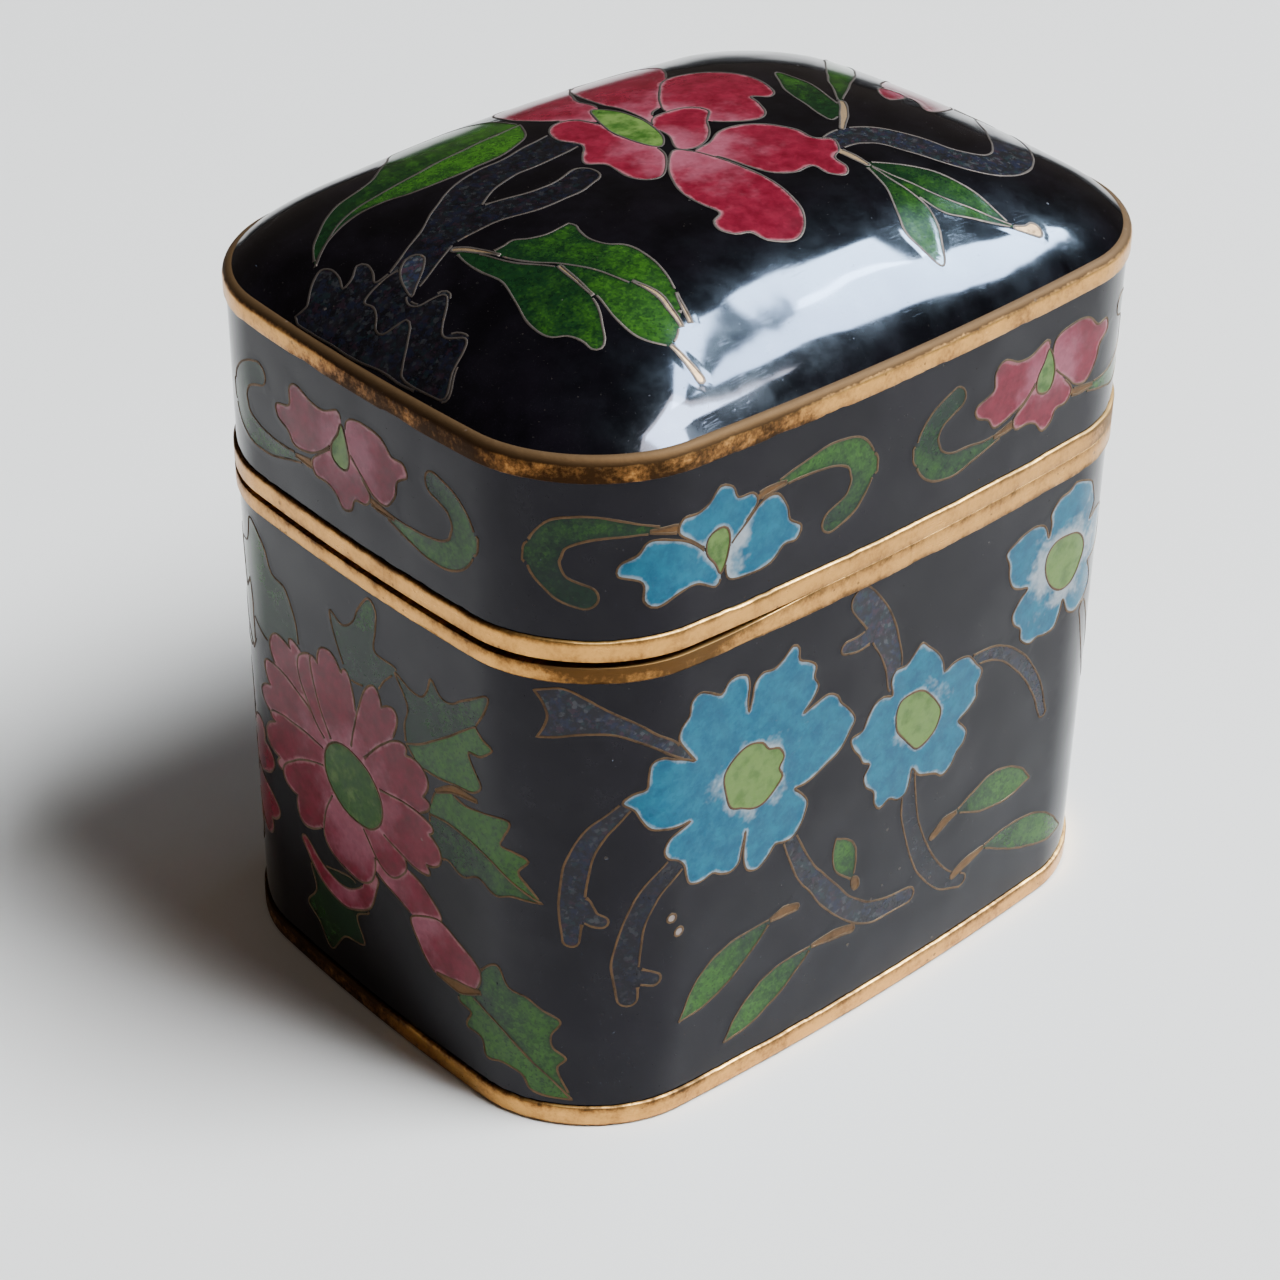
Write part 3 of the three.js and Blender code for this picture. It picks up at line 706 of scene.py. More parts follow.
red_peony((-32.4, 12.0), [
    (95, 7.4, 6.0, 2, 0.35), (35, 6.0, 5.0, 2, 0.4), (-30, 6.2, 5.0, 2, 0.3), (-92, 6.8, 6.4, 2, 0.5),
    (-150, 6.4, 5.2, 2, 0.35), (155, 6.2, 5.4, 2, 0.3)], centre=(2.0, 1.7), lean=30)
red_peony((-18.2, 17.3), [
    (140, 10.6, 6.4, 3, 0.35), (162, 10.4, 5.6, 2, 0.4), (-172, 9.6, 5.8, 3, 0.3), (-145, 8.6, 6.0, 2, 0.4),
    (-98, 7.2, 7.0, 1, 0.95), (-44, 6.2, 4.4, 1, 0.6), (122, 8.6, 4.6, 1, 0.45), (104, 9.2, 5.6, 3, 0.3),
    (67, 9.4, 4.2, 2, 0.3), (34, 8.6, 6.0, 3, 0.25), (-6, 8.4, 5.6, 3, 0.3)], centre=(3.0, 2.5), lean=-25)
print(len(base_cells), "cells on the base so far")

# %% Base: right end and back
right_middle = 62.0
back_middle = 101.3
branch([(48.6, 30.8), (51.5, 29.6), (54.0, 27.2), (56.4, 24.4)], [2.2, 2.0, 1.7, 1.2], tint=0.7)
branch([(66.5, 16.0), (69.4, 13.2), (72.6, 11.4), (76.4, 11.2)], [1.2, 1.5, 1.6, 1.2],
       spur=[(72.4, 11.0), (73.2, 9.8), (74.4, 9.4)])
branch([(56.0, 13.6), (54.4, 10.6), (54.2, 7.8), (55.6, 5.4)], [1.2, 1.5, 1.4, 1.0], tint=0.3)
toothed_leaf((68.6, 25.6), (76.6, 29.6), 6.0, 3)
toothed_leaf((70.4, 20.8), (78.8, 19.4), 6.2, 3, tints=(0.5, 0.3))
turquoise_flower((right_middle, 19.6), [(118, 56, 8.2, 3), (58, 58, 8.0, 3), (-2, 58, 7.8, 2),
                                        (-62, 56, 7.6, 3), (-122, 58, 8.0, 3), (178, 56, 8.0, 2)],
                 notch=0.56, centre=2.4)
bud((46.6, 8.0), (50.4, 14.4), 2.4, stem=(51.6, 16.0))
bud((60.4, 4.0), (66.4, 8.2), 2.4, stem=(68.4, 9.2))
bud((74.8, 3.4), (68.8, 5.4), 2.3, stem=(67.0, 5.2))

branch([(82.4, 29.6), (85.6, 29.0), (88.8, 26.8), (92.4, 24.6)], [2.4, 2.2, 1.8, 1.4],
       spur=[(86.4, 29.6), (87.4, 30.8), (88.6, 31.4)])
branch([(109.0, 11.6), (112.4, 9.6), (116.0, 9.0), (119.6, 10.2)], [1.4, 1.7, 1.6, 1.2], tint=0.3)
branch([(84.6, 12.4), (85.2, 9.2), (87.0, 6.4), (89.8, 5.0)], [1.2, 1.5, 1.4, 1.0])
toothed_leaf((94.4, 25.0), (100.2, 31.6), 6.2, 3)
toothed_leaf((106.6, 23.6), (113.8, 29.8), 6.8, 3, bend=-0.04, tints=(0.2, 0.7))
toothed_leaf((108.6, 18.4), (118.4, 18.0), 7.0, 3, tints=(0.6, 0.25))
toothed_leaf((95.4, 9.6), (90.8, 2.8), 5.6, 3, tints=(0.3, 0.6))
toothed_leaf((104.4, 9.0), (107.2, 2.6), 5.0, 3, tints=(0.25, 0.5))
red_peony((back_middle, 17.0), [
    (140, 8.8, 6.0, 2, 0.3), (-146, 8.6, 6.4, 2, 0.35), (178, 9.0, 6.2, 2, 0.3), (-100, 7.6, 7.0, 1, 0.9),
    (-52, 8.0, 5.6, 2, 0.5), (102, 9.0, 7.2, 2, 0.25), (62, 9.2, 5.6, 2, 0.3), (24, 8.6, 6.0, 2, 0.2),
    (-14, 8.4, 6.0, 2, 0.25)], centre=(2.9, 2.4), lean=20)
turquoise_flower((85.4, 19.8), [(100, 66, 5.6, 2), (30, 66, 5.8, 2), (-42, 66, 5.8, 3), (-114, 66, 5.8, 2),
                                (172, 66, 5.8, 2)], notch=0.46, centre=2.1, tint=0.4)
bud((114.6, 3.4), (119.6, 5.8), 2.2, stem=(121.0, 6.6))
for centre in ((79.4, 24.2), (79.6, 6.4), (119.2, 23.4)):
    add("cream", dot(centre, 0.45))
print(len(base_cells), "cells on the base")

# %% [markdown]
# ## From outlines to an enamelled skin
# Each field of enamel becomes one mesh. The outlines and a loose lattice of points between
# them are joined to triangles in the flat by a constrained Delaunay triangulation, which
# keeps every outline as an edge. Each triangle then knows its cell, and the flat sheet is
# laid on the curved wall or dome. A painted mask on a grid would blur the edges, while this
# keeps them as sharp as real wires. How far each corner lies from the nearest wire is kept
# as a colour on the mesh, because fired glass is paler or darker near a wire.

# %% Which cell is on top
GROUND_PITCH = 0.8
CELL_PITCH = 0.42
EDGE_FULL = 2.0  # distance from a wire, in millimetres, at which the stored distance reaches 1


def inside(points, outline):
    """Which points lie inside a closed outline."""
    x, y = points.T
    low, high = outline.min(axis=0), outline.max(axis=0)
    near = np.flatnonzero((x >= low[0]) & (x <= high[0]) & (y >= low[1]) & (y <= high[1]))
    found = np.zeros(len(points), bool)
    if len(near) == 0:
        return found
    px, py = x[near, None], y[near, None]
    a, b = outline, np.roll(outline, -1, axis=0)
    crosses = (a[:, 1] > py) != (b[:, 1] > py)
    rise = np.where(b[:, 1] == a[:, 1], 1e-9, b[:, 1] - a[:, 1])
    left = px < (b[:, 0] - a[:, 0]) * (py - a[:, 1]) / rise + a[:, 0]
    found[near] = (crosses & left).sum(axis=1) % 2 == 1
    return found


def top_cell(points, cells):
    """Index of the uppermost cell at each point, or -1 on the ground."""
    owner = np.full(len(points), -1)
    for i, cell in enumerate(cells):
        for outline in cell.outlines:
            owner[inside(points, outline)] = i
    return owner


def distance_to(points, others):
    tree = kdtree.KDTree(len(others))
    for i, (x, y) in enumerate(others):
        tree.insert((x, y, 0), i)
    tree.balance()
    return np.array([tree.find((x, y, 0))[2] for x, y in points])


def visible_wires(cells):
    """The stretches of every outline that no later cell hides, as open or closed lines."""
    lines = []
    for i, cell in enumerate(cells):
        for j, outline in enumerate(cell.outlines):
            hidden = np.zeros(len(outline), bool)
            for later in cells[i + 1:]:
                for other in later.outlines:
                    low, high = other.min(axis=0) - 1, other.max(axis=0) + 1
                    if (outline.max(axis=0) < low).any() or (outline.min(axis=0) > high).any():
                        continue
                    hidden |= inside(outline, other) | (distance_to(outline, other) < 0.13)
            for k, other in enumerate(cell.outlines):
                if k != j:
                    hidden |= inside(outline, other)
            if not hidden.any():
                lines.append((outline, True))
                continue
            shown = np.flatnonzero(~hidden)
            if len(shown) < 3:
                continue
            start = np.flatnonzero(hidden)[0]
            order = np.roll(np.arange(len(outline)), -start)
            stretch = []
            for index in [*order, order[0]]:
                if hidden[index]:
                    if len(stretch) > 2:
                        lines.append((outline[stretch], False))
                    stretch = []
                else:
                    stretch.append(index)
    return lines


wires = {"base": visible_wires(base_cells), "skirt": visible_wires(skirt_cells),
         "dome": visible_wires(dome_cells)}
for name, lines in wires.items():
    length = sum(np.linalg.norm(np.diff(line, axis=0), axis=1).sum() for line, _ in lines)
    print(f"{name}: {len(lines)} wires, {length:.0f} mm in all")

# %% Flat sheets of triangles
BORDER_STEPS = 240
SKIRT_SEAM = FIRST_SPRAY + 2.5 * GIRTH / SPRAYS


def lattice(low, high, pitch):
    """Points in staggered rows that fill a rectangle."""
    rows = np.arange(low[1], high[1], pitch * math.sqrt(0.75))
    columns = np.arange(low[0], high[0], pitch)
    x = columns[None, :] + pitch / 2 * (np.arange(len(rows)) % 2)[:, None]
    return np.column_stack([x.ravel(), np.repeat(rows, len(columns))])


def sheet(border, cells, ground_pitch):
    """Triangles that fill a convex border and keep every outline: points, triangles, owners."""
    loops = [border]
    for cell in cells:
        loops += cell.outlines
    drawn = np.concatenate(loops)
    edges = []
    start = 0
    for loop in loops:
        edges += [(start + i, start + (i + 1) % len(loop)) for i in range(len(loop))]
        start += len(loop)
    low, high = border.min(axis=0), border.max(axis=0)
    ground = lattice(low, high, ground_pitch)
    ground = ground[top_cell(ground, cells) < 0]
    ground = ground[distance_to(ground, drawn) > 0.55 * ground_pitch]
    fine = lattice(low, high, CELL_PITCH)
    fine = fine[top_cell(fine, cells) >= 0]
    fine = fine[distance_to(fine, drawn) > 0.5 * CELL_PITCH]
    filling = np.concatenate([ground, fine])
    filling = filling[inside(filling, border)]
    flat = [Vector(p) for p in np.concatenate([drawn, filling])]
    found, _, faces, _, _, _ = geometry.delaunay_2d_cdt(flat, edges, [], 0, 1e-5)
    points = np.array([tuple(p) for p in found])
    faces = np.array(faces)
    return points, faces, top_cell(points[faces].mean(axis=1), cells)


def wall_border(seam, low, high):
    """Border of a wall's flat drawing. Its left and right ends are the same line on the box."""
    u = seam - GIRTH + GIRTH * np.arange(BORDER_STEPS + 1) / BORDER_STEPS
    z = np.linspace(low, high, int((high - low) / GROUND_PITCH) + 1)[1:-1]
    return np.concatenate([
        np.column_stack([u, np.full(len(u), low)]),
        np.column_stack([np.full(len(z), u[-1]), z]),
        np.column_stack([u, np.full(len(u), high)])[::-1],
        np.column_stack([np.full(len(z), u[0]), z])[::-1],
    ])


dome_rim = plan_at(GIRTH * np.arange(BORDER_STEPS) / BORDER_STEPS, -DOME_INSET)[0]
fields = {
    "base": (sheet(wall_border(BASE_SEAM, FOOT_TOP, BASE_TOP), base_cells, GROUND_PITCH), base_cells,
             place_on_wall),
    "skirt": (sheet(wall_border(SKIRT_SEAM, RIM_TOP, SHOULDER_BOTTOM), skirt_cells, GROUND_PITCH),
              skirt_cells, place_on_wall),
    "dome": (sheet(dome_rim, dome_cells, 0.6), dome_cells, dome.place),
}
for name, ((points, faces, _), _, _) in fields.items():
    print(f"{name}: {len(points)} points and {len(faces)} triangles")

# %% [markdown]
# ## Materials
# Fired enamel is glass on metal: a clear, hard gloss over a colour that is never even. The
# powder leaves grains and drifts, the polishing leaves fine lines, and bubbles that the
# grinding opened stay as pits. All enamels here share these effects through small groups of
# nodes and differ only in colour. Every group works in millimetres on the box itself, so that
# a grain stays in its place and has its true size.

# %% Small helpers for nodes
class Graph:
    """Adds nodes to a tree. A socket given as an input is linked, anything else is set."""

    def __init__(self, tree):
        self.tree = tree
        tree.nodes.clear()

    def add(self, kind, inputs=None, **settings):
        node = self.tree.nodes.new(kind)
        for name, value in settings.items():
            setattr(node, name, value)
        for name, value in (inputs or {}).items():
            if isinstance(value, bpy.types.NodeSocket):
                self.tree.links.new(value, node.inputs[name])
            else:
                node.inputs[name].default_value = value
        return node

    def math(self, operation, a, b=0.0, clamp=False):
        return self.add("ShaderNodeMath", {0: a, 1: b}, operation=operation, use_clamp=clamp).outputs[0]

    def mix(self, share, a, b):
        """A colour between a and b."""
        return self.add("ShaderNodeMix", {"Factor": share, 6: a, 7: b}, data_type="RGBA").outputs[2]

    def step(self, value, low, high, to_low=0.0, to_high=1.0):
        """A smooth step of the value from low to high."""
        node = self.add("ShaderNodeMapRange", {"Value": value, "From Min": low, "From Max": high,
                                               "To Min": to_low, "To Max": to_high},
                        interpolation_type="SMOOTHSTEP")
        return node.outputs["Result"]

    def noise(self, place, scale, detail=3.0, roughness=0.5):
        return self.add("ShaderNodeTexNoise", {"Vector": place, "Scale": scale, "Detail": detail,
                                               "Roughness": roughness}).outputs["Fac"]

    def use(self, tree, **inputs):
        """A group node. Underscores stand for the spaces in the names of its inputs."""
        node = self.tree.nodes.new("ShaderNodeGroup")
        node.node_tree = tree
        for name, value in inputs.items():
            socket = node.inputs[name.replace("_", " ")]
            if isinstance(value, bpy.types.NodeSocket):
                self.tree.links.new(value, socket)
            else:
                socket.default_value = value
        return node.outputs


KINDS = {"Float": "NodeSocketFloat", "Vector": "NodeSocketVector", "Color": "NodeSocketColor"}


def new_group(name, inputs, outputs):
    """A node group with named sockets. Returns the tree, its graph, its input sockets and its output node."""
    tree = bpy.data.node_groups.new(name, "ShaderNodeTree")
    for label, (kind, default) in inputs.items():
        socket = tree.interface.new_socket(label, in_out="INPUT", socket_type=KINDS[kind])
        if default is not None:
            socket.default_value = default
    for label, kind in outputs.items():
        tree.interface.new_socket(label, in_out="OUTPUT", socket_type=KINDS[kind])
    graph = Graph(tree)
    given = graph.add("NodeGroupInput").outputs
    made = graph.add("NodeGroupOutput")
    return tree, graph, given, made


print("node helpers ready")

# %% [markdown]
# ## Effects that the materials share
# Five groups are enough. One gives the place on the box in millimetres, and one reads what the
# mesh knows about its cell. One scatters the grains of the glass powder, one draws the polished
# surface with its waves, lines and pits, and the last darkens and roughens metal. The polish
# also gives a haze: each highlight has a soft veil round it, which the glass takes from a thin,
# rough coat over its clear one.

# %% Groups: place and cell
place_group, g, _, made = new_group("Place in millimetres", {}, {"Place": "Vector"})
where = g.add("ShaderNodeTexCoord").outputs["Object"]
scaled = g.add("ShaderNodeVectorMath", {0: where, "Scale": 1 / MM}, operation="SCALE").outputs["Vector"]
g.tree.links.new(scaled, made.inputs["Place"])

cell_group, g, _, made = new_group("Cell", {}, {"Edge": "Float", "Reach": "Float", "Tint": "Float"})
stored = g.add("ShaderNodeVertexColor", layer_name="cell").outputs["Color"]
parts = g.add("ShaderNodeSeparateColor", {"Color": stored}).outputs
g.tree.links.new(g.math("MULTIPLY", parts["Red"], EDGE_FULL), made.inputs["Edge"])
g.tree.links.new(parts["Green"], made.inputs["Reach"])
g.tree.links.new(parts["Blue"], made.inputs["Tint"])
print("groups so far:", [tree.name for tree in bpy.data.node_groups])

# %% Groups: grains and polish
grain_group, g, given, made = new_group(
    "Glass grains",
    {"Place": ("Vector", None), "Size": ("Float", 0.25)},
    {"Shade": "Float", "Drift": "Float"},
)
density = g.math("DIVIDE", 1.0, given["Size"])
grains = g.add("ShaderNodeTexVoronoi", {"Vector": given["Place"], "Scale": density})
shade = g.add("ShaderNodeSeparateColor", {"Color": grains.outputs["Color"]}).outputs["Red"]
drift = g.step(g.noise(given["Place"], 0.9, 4.0, 0.6), 0.3, 0.7)
g.tree.links.new(shade, made.inputs["Shade"])
g.tree.links.new(drift, made.inputs["Drift"])

polish_group, g, given, made = new_group(
    "Hand polish",
    {"Place": ("Vector", None), "Edge": ("Float", 1.0), "Gloss": ("Float", 0.08), "Pits": ("Float", 0.5)},
    {"Roughness": "Float", "Haze": "Float", "Height": "Float", "Pit": "Float"},
)
swell = g.noise(given["Place"], 0.2, 0.5)
ripple = g.noise(given["Place"], 0.9, 1.0)
holes = g.add("ShaderNodeTexVoronoi", {"Vector": given["Place"], "Scale": 0.42, "Randomness": 1.0})
chosen = g.add("ShaderNodeSeparateColor", {"Color": holes.outputs["Color"]}).outputs["Green"]
size = g.math("MULTIPLY", g.math("SUBTRACT", chosen, 0.55, clamp=True), 0.12)
pit = g.math("MULTIPLY", g.math("LESS_THAN", holes.outputs["Distance"], size), given["Pits"])
fine = g.add("ShaderNodeTexVoronoi", {"Vector": given["Place"], "Scale": 2.3, "Randomness": 1.0})
fine_chosen = g.add("ShaderNodeSeparateColor", {"Color": fine.outputs["Color"]}).outputs["Blue"]
fine_size = g.math("MULTIPLY", g.math("SUBTRACT", fine_chosen, 0.7, clamp=True), 0.4)
fine_pit = g.math("MULTIPLY", g.math("LESS_THAN", fine.outputs["Distance"], fine_size), given["Pits"])
pits = g.math("MAXIMUM", pit, g.math("MULTIPLY", fine_pit, 0.5))
lines = []
for turn, squeeze in (((0.3, 0.5, 0.2), (0.12, 3.6, 0.12)), ((1.2, 0.2, 2.1), (0.1, 3.0, 0.1))):
    stretched = g.add("ShaderNodeMapping", {"Vector": given["Place"], "Rotation": turn, "Scale": squeeze})
    grey = g.noise(stretched.outputs["Vector"], 1.0, 1.0)
    lines.append(g.step(g.math("ABSOLUTE", g.math("SUBTRACT", grey, 0.5)), 0.0, 0.004, 1.0, 0.0))
scratches = g.math("MULTIPLY", g.math("MAXIMUM", lines[0], lines[1]), g.step(ripple, 0.5, 0.62))
smear = g.step(g.noise(given["Place"], 0.35, 5.0, 0.65), 0.35, 0.75)
rough = g.math("ADD", given["Gloss"], g.math("MULTIPLY", smear, 0.03))
rough = g.math("ADD", rough, g.math("MULTIPLY", scratches, 0.05))
rough = g.math("ADD", rough, g.math("MULTIPLY", pits, 0.4), clamp=True)
sag = g.step(given["Edge"], 0.0, 0.5, 0.0, -0.012)
height = g.math("ADD", sag, g.math("MULTIPLY", swell, 0.12))
height = g.math("ADD", height, g.math("MULTIPLY", ripple, 0.0012))
height = g.math("SUBTRACT", height, g.math("MULTIPLY", scratches, 0.0003))
height = g.math("SUBTRACT", height, g.math("MULTIPLY", pits, 0.03))
g.tree.links.new(rough, made.inputs["Roughness"])
g.tree.links.new(g.math("ADD", 0.03, g.math("MULTIPLY", smear, 0.13)), made.inputs["Haze"])
g.tree.links.new(height, made.inputs["Height"])
g.tree.links.new(pits, made.inputs["Pit"])

tarnish_and_shade_group, g, given, made = new_group(
    "Tarnish and shade",
    {"Place": ("Vector", None), "Wear": ("Float", 0.0), "Amount": ("Float", 0.5), "Stain": ("Float", 0.0)},
    {"Brown": "Float", "Dark": "Float", "Pit": "Float", "Roughness": "Float", "Height": "Float"},
)
cloud = g.noise(given["Place"], 0.45, 6.0, 0.62)
spots = g.noise(given["Place"], 3.2, 5.0, 0.7)
reach = g.math("ADD", g.math("MULTIPLY", cloud, 0.6), g.math("MULTIPLY", spots, 0.4))
# Worn edges and a band's dark cloud deepen the tarnish; both are partly painted shade.
reach = g.math("ADD", reach, g.math("MULTIPLY", given["Wear"], 0.28))
reach = g.math("ADD", reach, g.math("MULTIPLY", given["Stain"], 0.26))
brown = g.math("MULTIPLY", g.step(reach, 0.42, 0.72), given["Amount"], clamp=True)
dark = g.math("MULTIPLY", g.step(reach, 0.6, 0.82), given["Amount"], clamp=True)
holes = g.add("ShaderNodeTexVoronoi", {"Vector": given["Place"], "Scale": 1.6, "Randomness": 1.0})
chosen = g.add("ShaderNodeSeparateColor", {"Color": holes.outputs["Color"]}).outputs["Red"]
size = g.math("MULTIPLY", g.math("SUBTRACT", chosen, 0.62, clamp=True), 0.55)
pit = g.math("LESS_THAN", holes.outputs["Distance"], size)
brushed = g.add("ShaderNodeMapping", {"Vector": given["Place"], "Scale": (0.5, 0.5, 9.0)})
grain = g.noise(brushed.outputs["Vector"], 1.4, 3.0)
rough = g.math("ADD", 0.24, g.math("MULTIPLY", brown, 0.22))
rough = g.math("ADD", rough, g.math("MULTIPLY", dark, 0.2))
rough = g.math("ADD", rough, g.math("MULTIPLY", grain, 0.08), clamp=True)
height = g.math("MULTIPLY", spots, 0.012)
height = g.math("ADD", height, g.math("MULTIPLY", cloud, 0.05))
height = g.math("SUBTRACT", height, g.math("MULTIPLY", pit, 0.03))
height = g.math("ADD", height, g.math("MULTIPLY", grain, 0.004))
for label, value in (("Brown", brown), ("Dark", dark), ("Pit", pit), ("Roughness", rough),
                     ("Height", height)):
    g.tree.links.new(value, made.inputs[label])
print("groups:", [tree.name for tree in bpy.data.node_groups])

# %% [markdown]
# ## The enamels
# Each enamel turns the edge, the reach and the grains into one colour. The petals were filled
# with white at the wires and red or turquoise inside, and the two melt into each other. The
# greens are coarse: single grains of darker glass show. The branches are filled with sweepings
# of many colours. The black ground is the same glass without any of it.

# %% Enamel materials
def new_material(name):
    material = bpy.data.materials.new(name)
    material.use_nodes = True
    return material, Graph(material.node_tree)


def enamel(name, paint, gloss=0.07, pits=0.5):
    """A glass material. `paint` gets the graph, the place, the cell and the grains, and returns a colour."""
    material, g = new_material(name)
    place = g.use(place_group)["Place"]
    cell = g.use(cell_group)
    grains = g.use(grain_group, Place=place)
    polish = g.use(polish_group, Place=place, Edge=cell["Edge"], Gloss=gloss, Pits=pits)
    colour = paint(g, place, cell, grains)
    colour = g.mix(g.math("MULTIPLY", polish["Pit"], 0.55), colour, (0.08, 0.065, 0.05, 1))
    bump = g.add("ShaderNodeBump", {"Height": polish["Height"], "Strength": 1.0, "Distance": MM})
    glass = g.add("ShaderNodeBsdfPrincipled", {"Base Color": colour, "Roughness": polish["Roughness"],
                                               "IOR": 1.25, "Specular Tint": (0.9, 0.86, 1.0, 1),
                                               "Coat Weight": polish["Haze"], "Coat Roughness": 0.28,
                                               "Coat IOR": 1.3,
                                               "Normal": bump.outputs["Normal"]})
    g.add("ShaderNodeOutputMaterial", {"Surface": glass.outputs["BSDF"]})
    return material


def black_ground(g, place, cell, grains):
    cloud = g.step(g.noise(place, 0.25, 4.0, 0.6), 0.35, 0.75)
    colour = g.mix(cloud, (0.001, 0.0008, 0.0013, 1), (0.0032, 0.0025, 0.004, 1))
    speck = g.step(g.noise(place, 5.5, 2.0), 0.7, 0.78)
    return g.mix(g.math("MULTIPLY", speck, 0.5), colour, (0.025, 0.023, 0.021, 1))


def petals(rim, heart, full, deep, growth=(0.1, 0.6)):
    """Petals with pale rims, a light heart, a full colour outside and a deep one in drifts."""
    def paint(g, place, cell, grains):
        swing = g.math("MULTIPLY", g.math("SUBTRACT", grains["Drift"], 0.5), 0.4)
        streak = g.math("MULTIPLY", g.math("SUBTRACT", g.noise(place, 0.55, 3.0, 0.6), 0.5), 0.9)
        colour = g.mix(g.math("MULTIPLY", grains["Drift"], 0.85), full, deep)
        lighter = g.math("MULTIPLY", g.step(cell["Tint"], 0.3, 1.0), 0.45)
        from_heart = g.step(g.math("SUBTRACT", g.math("ADD", cell["Reach"], streak), lighter), *growth)
        colour = g.mix(from_heart, heart, colour)
        past_rim = g.step(g.math("ADD", cell["Edge"], g.math("MULTIPLY", swing, 0.5)), 0.03, 0.28)
        colour = g.mix(past_rim, g.mix(0.35, rim, colour), colour)
        darker = g.math("MULTIPLY", g.math("SUBTRACT", grains["Shade"], 0.5), 0.18)
        return g.add("ShaderNodeHueSaturation", {"Color": colour,
                                                 "Value": g.math("ADD", 1.0, darker)}).outputs["Color"]

    return paint


def leaf_green(g, place, cell, grains):
    fine = g.use(grain_group, Place=place, Size=0.13)
    tone = g.math("ADD", cell["Tint"], g.math("MULTIPLY", g.math("SUBTRACT", grains["Drift"], 0.5), 0.3))
    tone = g.math("ADD", tone, g.math("MULTIPLY", g.math("SUBTRACT", cell["Reach"], 0.45), 0.6))
    tone = g.math("ADD", tone, g.math("MULTIPLY", g.math("SUBTRACT", fine["Shade"], 0.5), 0.25))
    tone = g.math("MULTIPLY", tone, g.step(cell["Edge"], -0.1, 0.4, 0.55, 1.0))
    dark = g.mix(grains["Shade"], (0.0019, 0.01, 0.0034, 1), (0.0034, 0.019, 0.0051, 1))
    bright = g.mix(grains["Shade"], (0.014, 0.058, 0.0051, 1), (0.029, 0.098, 0.0076, 1))
    colour = g.mix(g.step(tone, 0.2, 0.9), dark, bright)
    spot = g.math("MULTIPLY", g.step(fine["Shade"], 0.84, 0.88), 0.6)
    return g.mix(spot, colour, (0.0034, 0.015, 0.0034, 1))


def lime_green(g, place, cell, grains):
    tone = g.math("ADD", cell["Tint"], g.math("MULTIPLY", g.math("SUBTRACT", grains["Drift"], 0.5), 0.6))
    colour = g.mix(g.step(tone, 0.1, 0.9), (0.015, 0.055, 0.0068, 1), (0.11, 0.18, 0.043, 1))
    return g.mix(g.math("MULTIPLY", grains["Shade"], 0.25), colour, (0.06, 0.14, 0.017, 1))


def many_colours(g, place, cell, grains):
    fine = g.use(grain_group, Place=place, Size=0.24)
    strength = g.step(cell["Tint"], 0.2, 0.9)
    base = g.mix(grains["Drift"], (0.0018, 0.0016, 0.0022, 1), (0.0048, 0.0043, 0.0054, 1))
    hue = g.add("ShaderNodeTexNoise", {"Vector": place, "Scale": 1.7, "Detail": 3.0, "Roughness": 0.7})
    hues = g.add("ShaderNodeSeparateColor", {"Color": hue.outputs["Color"]}).outputs
    colour = g.mix(g.step(hues["Blue"], 0.46, 0.62), base, (0.006, 0.01, 0.03, 1))
    colour = g.mix(g.step(hues["Green"], 0.52, 0.66), colour, (0.006, 0.021, 0.023, 1))
    colour = g.mix(g.step(hues["Red"], 0.54, 0.66), colour, (0.026, 0.009, 0.017, 1))
    pale = g.math("MULTIPLY", g.step(fine["Shade"], 0.78, 0.94), g.step(hues["Green"], 0.36, 0.6))
    colour = g.mix(g.math("MULTIPLY", pale, 0.8), colour, (0.055, 0.058, 0.062, 1))
    darker = g.mix(0.2, base, colour)
    lighter = g.mix(0.18, colour, (0.052, 0.054, 0.06, 1))
    return g.mix(strength, darker, lighter)


def cream(g, place, cell, grains):
    return g.mix(grains["Shade"], (0.28, 0.26, 0.22, 1), (0.22, 0.17, 0.17, 1))


def plain_turquoise(g, place, cell, grains):
    colour = g.mix(grains["Drift"], (0.011, 0.14, 0.18, 1), (0.025, 0.2, 0.24, 1))
    return g.mix(g.math("MULTIPLY", grains["Shade"], 0.35), colour, (0.0076, 0.093, 0.14, 1))


WHITE = (0.27, 0.31, 0.34, 1)
enamels = {
    "black": enamel("Black enamel", black_ground, gloss=0.06, pits=0.7),
    "pink": enamel("Red and white enamel",
                   petals((0.29, 0.12, 0.14, 1), (0.22, 0.055, 0.081, 1), (0.15, 0.0085, 0.022, 1),
                          (0.089, 0.0026, 0.0093, 1))),
    "turquoise": enamel("Turquoise and white enamel",
                        petals(WHITE, WHITE, (0.003, 0.11, 0.18, 1), (0.0012, 0.06, 0.118, 1),
                               growth=(0.02, 0.28))),
    "leaf": enamel("Green enamel", leaf_green, pits=0.8),
    "lime": enamel("Yellow green enamel", lime_green),
    "speckle": enamel("Enamel of many colours", many_colours, pits=0.8),
    "cream": enamel("Cream enamel", cream),
    "lining": enamel("Turquoise lining", plain_turquoise, gloss=0.16, pits=1.0),
}
print("enamels:", sorted(enamels))
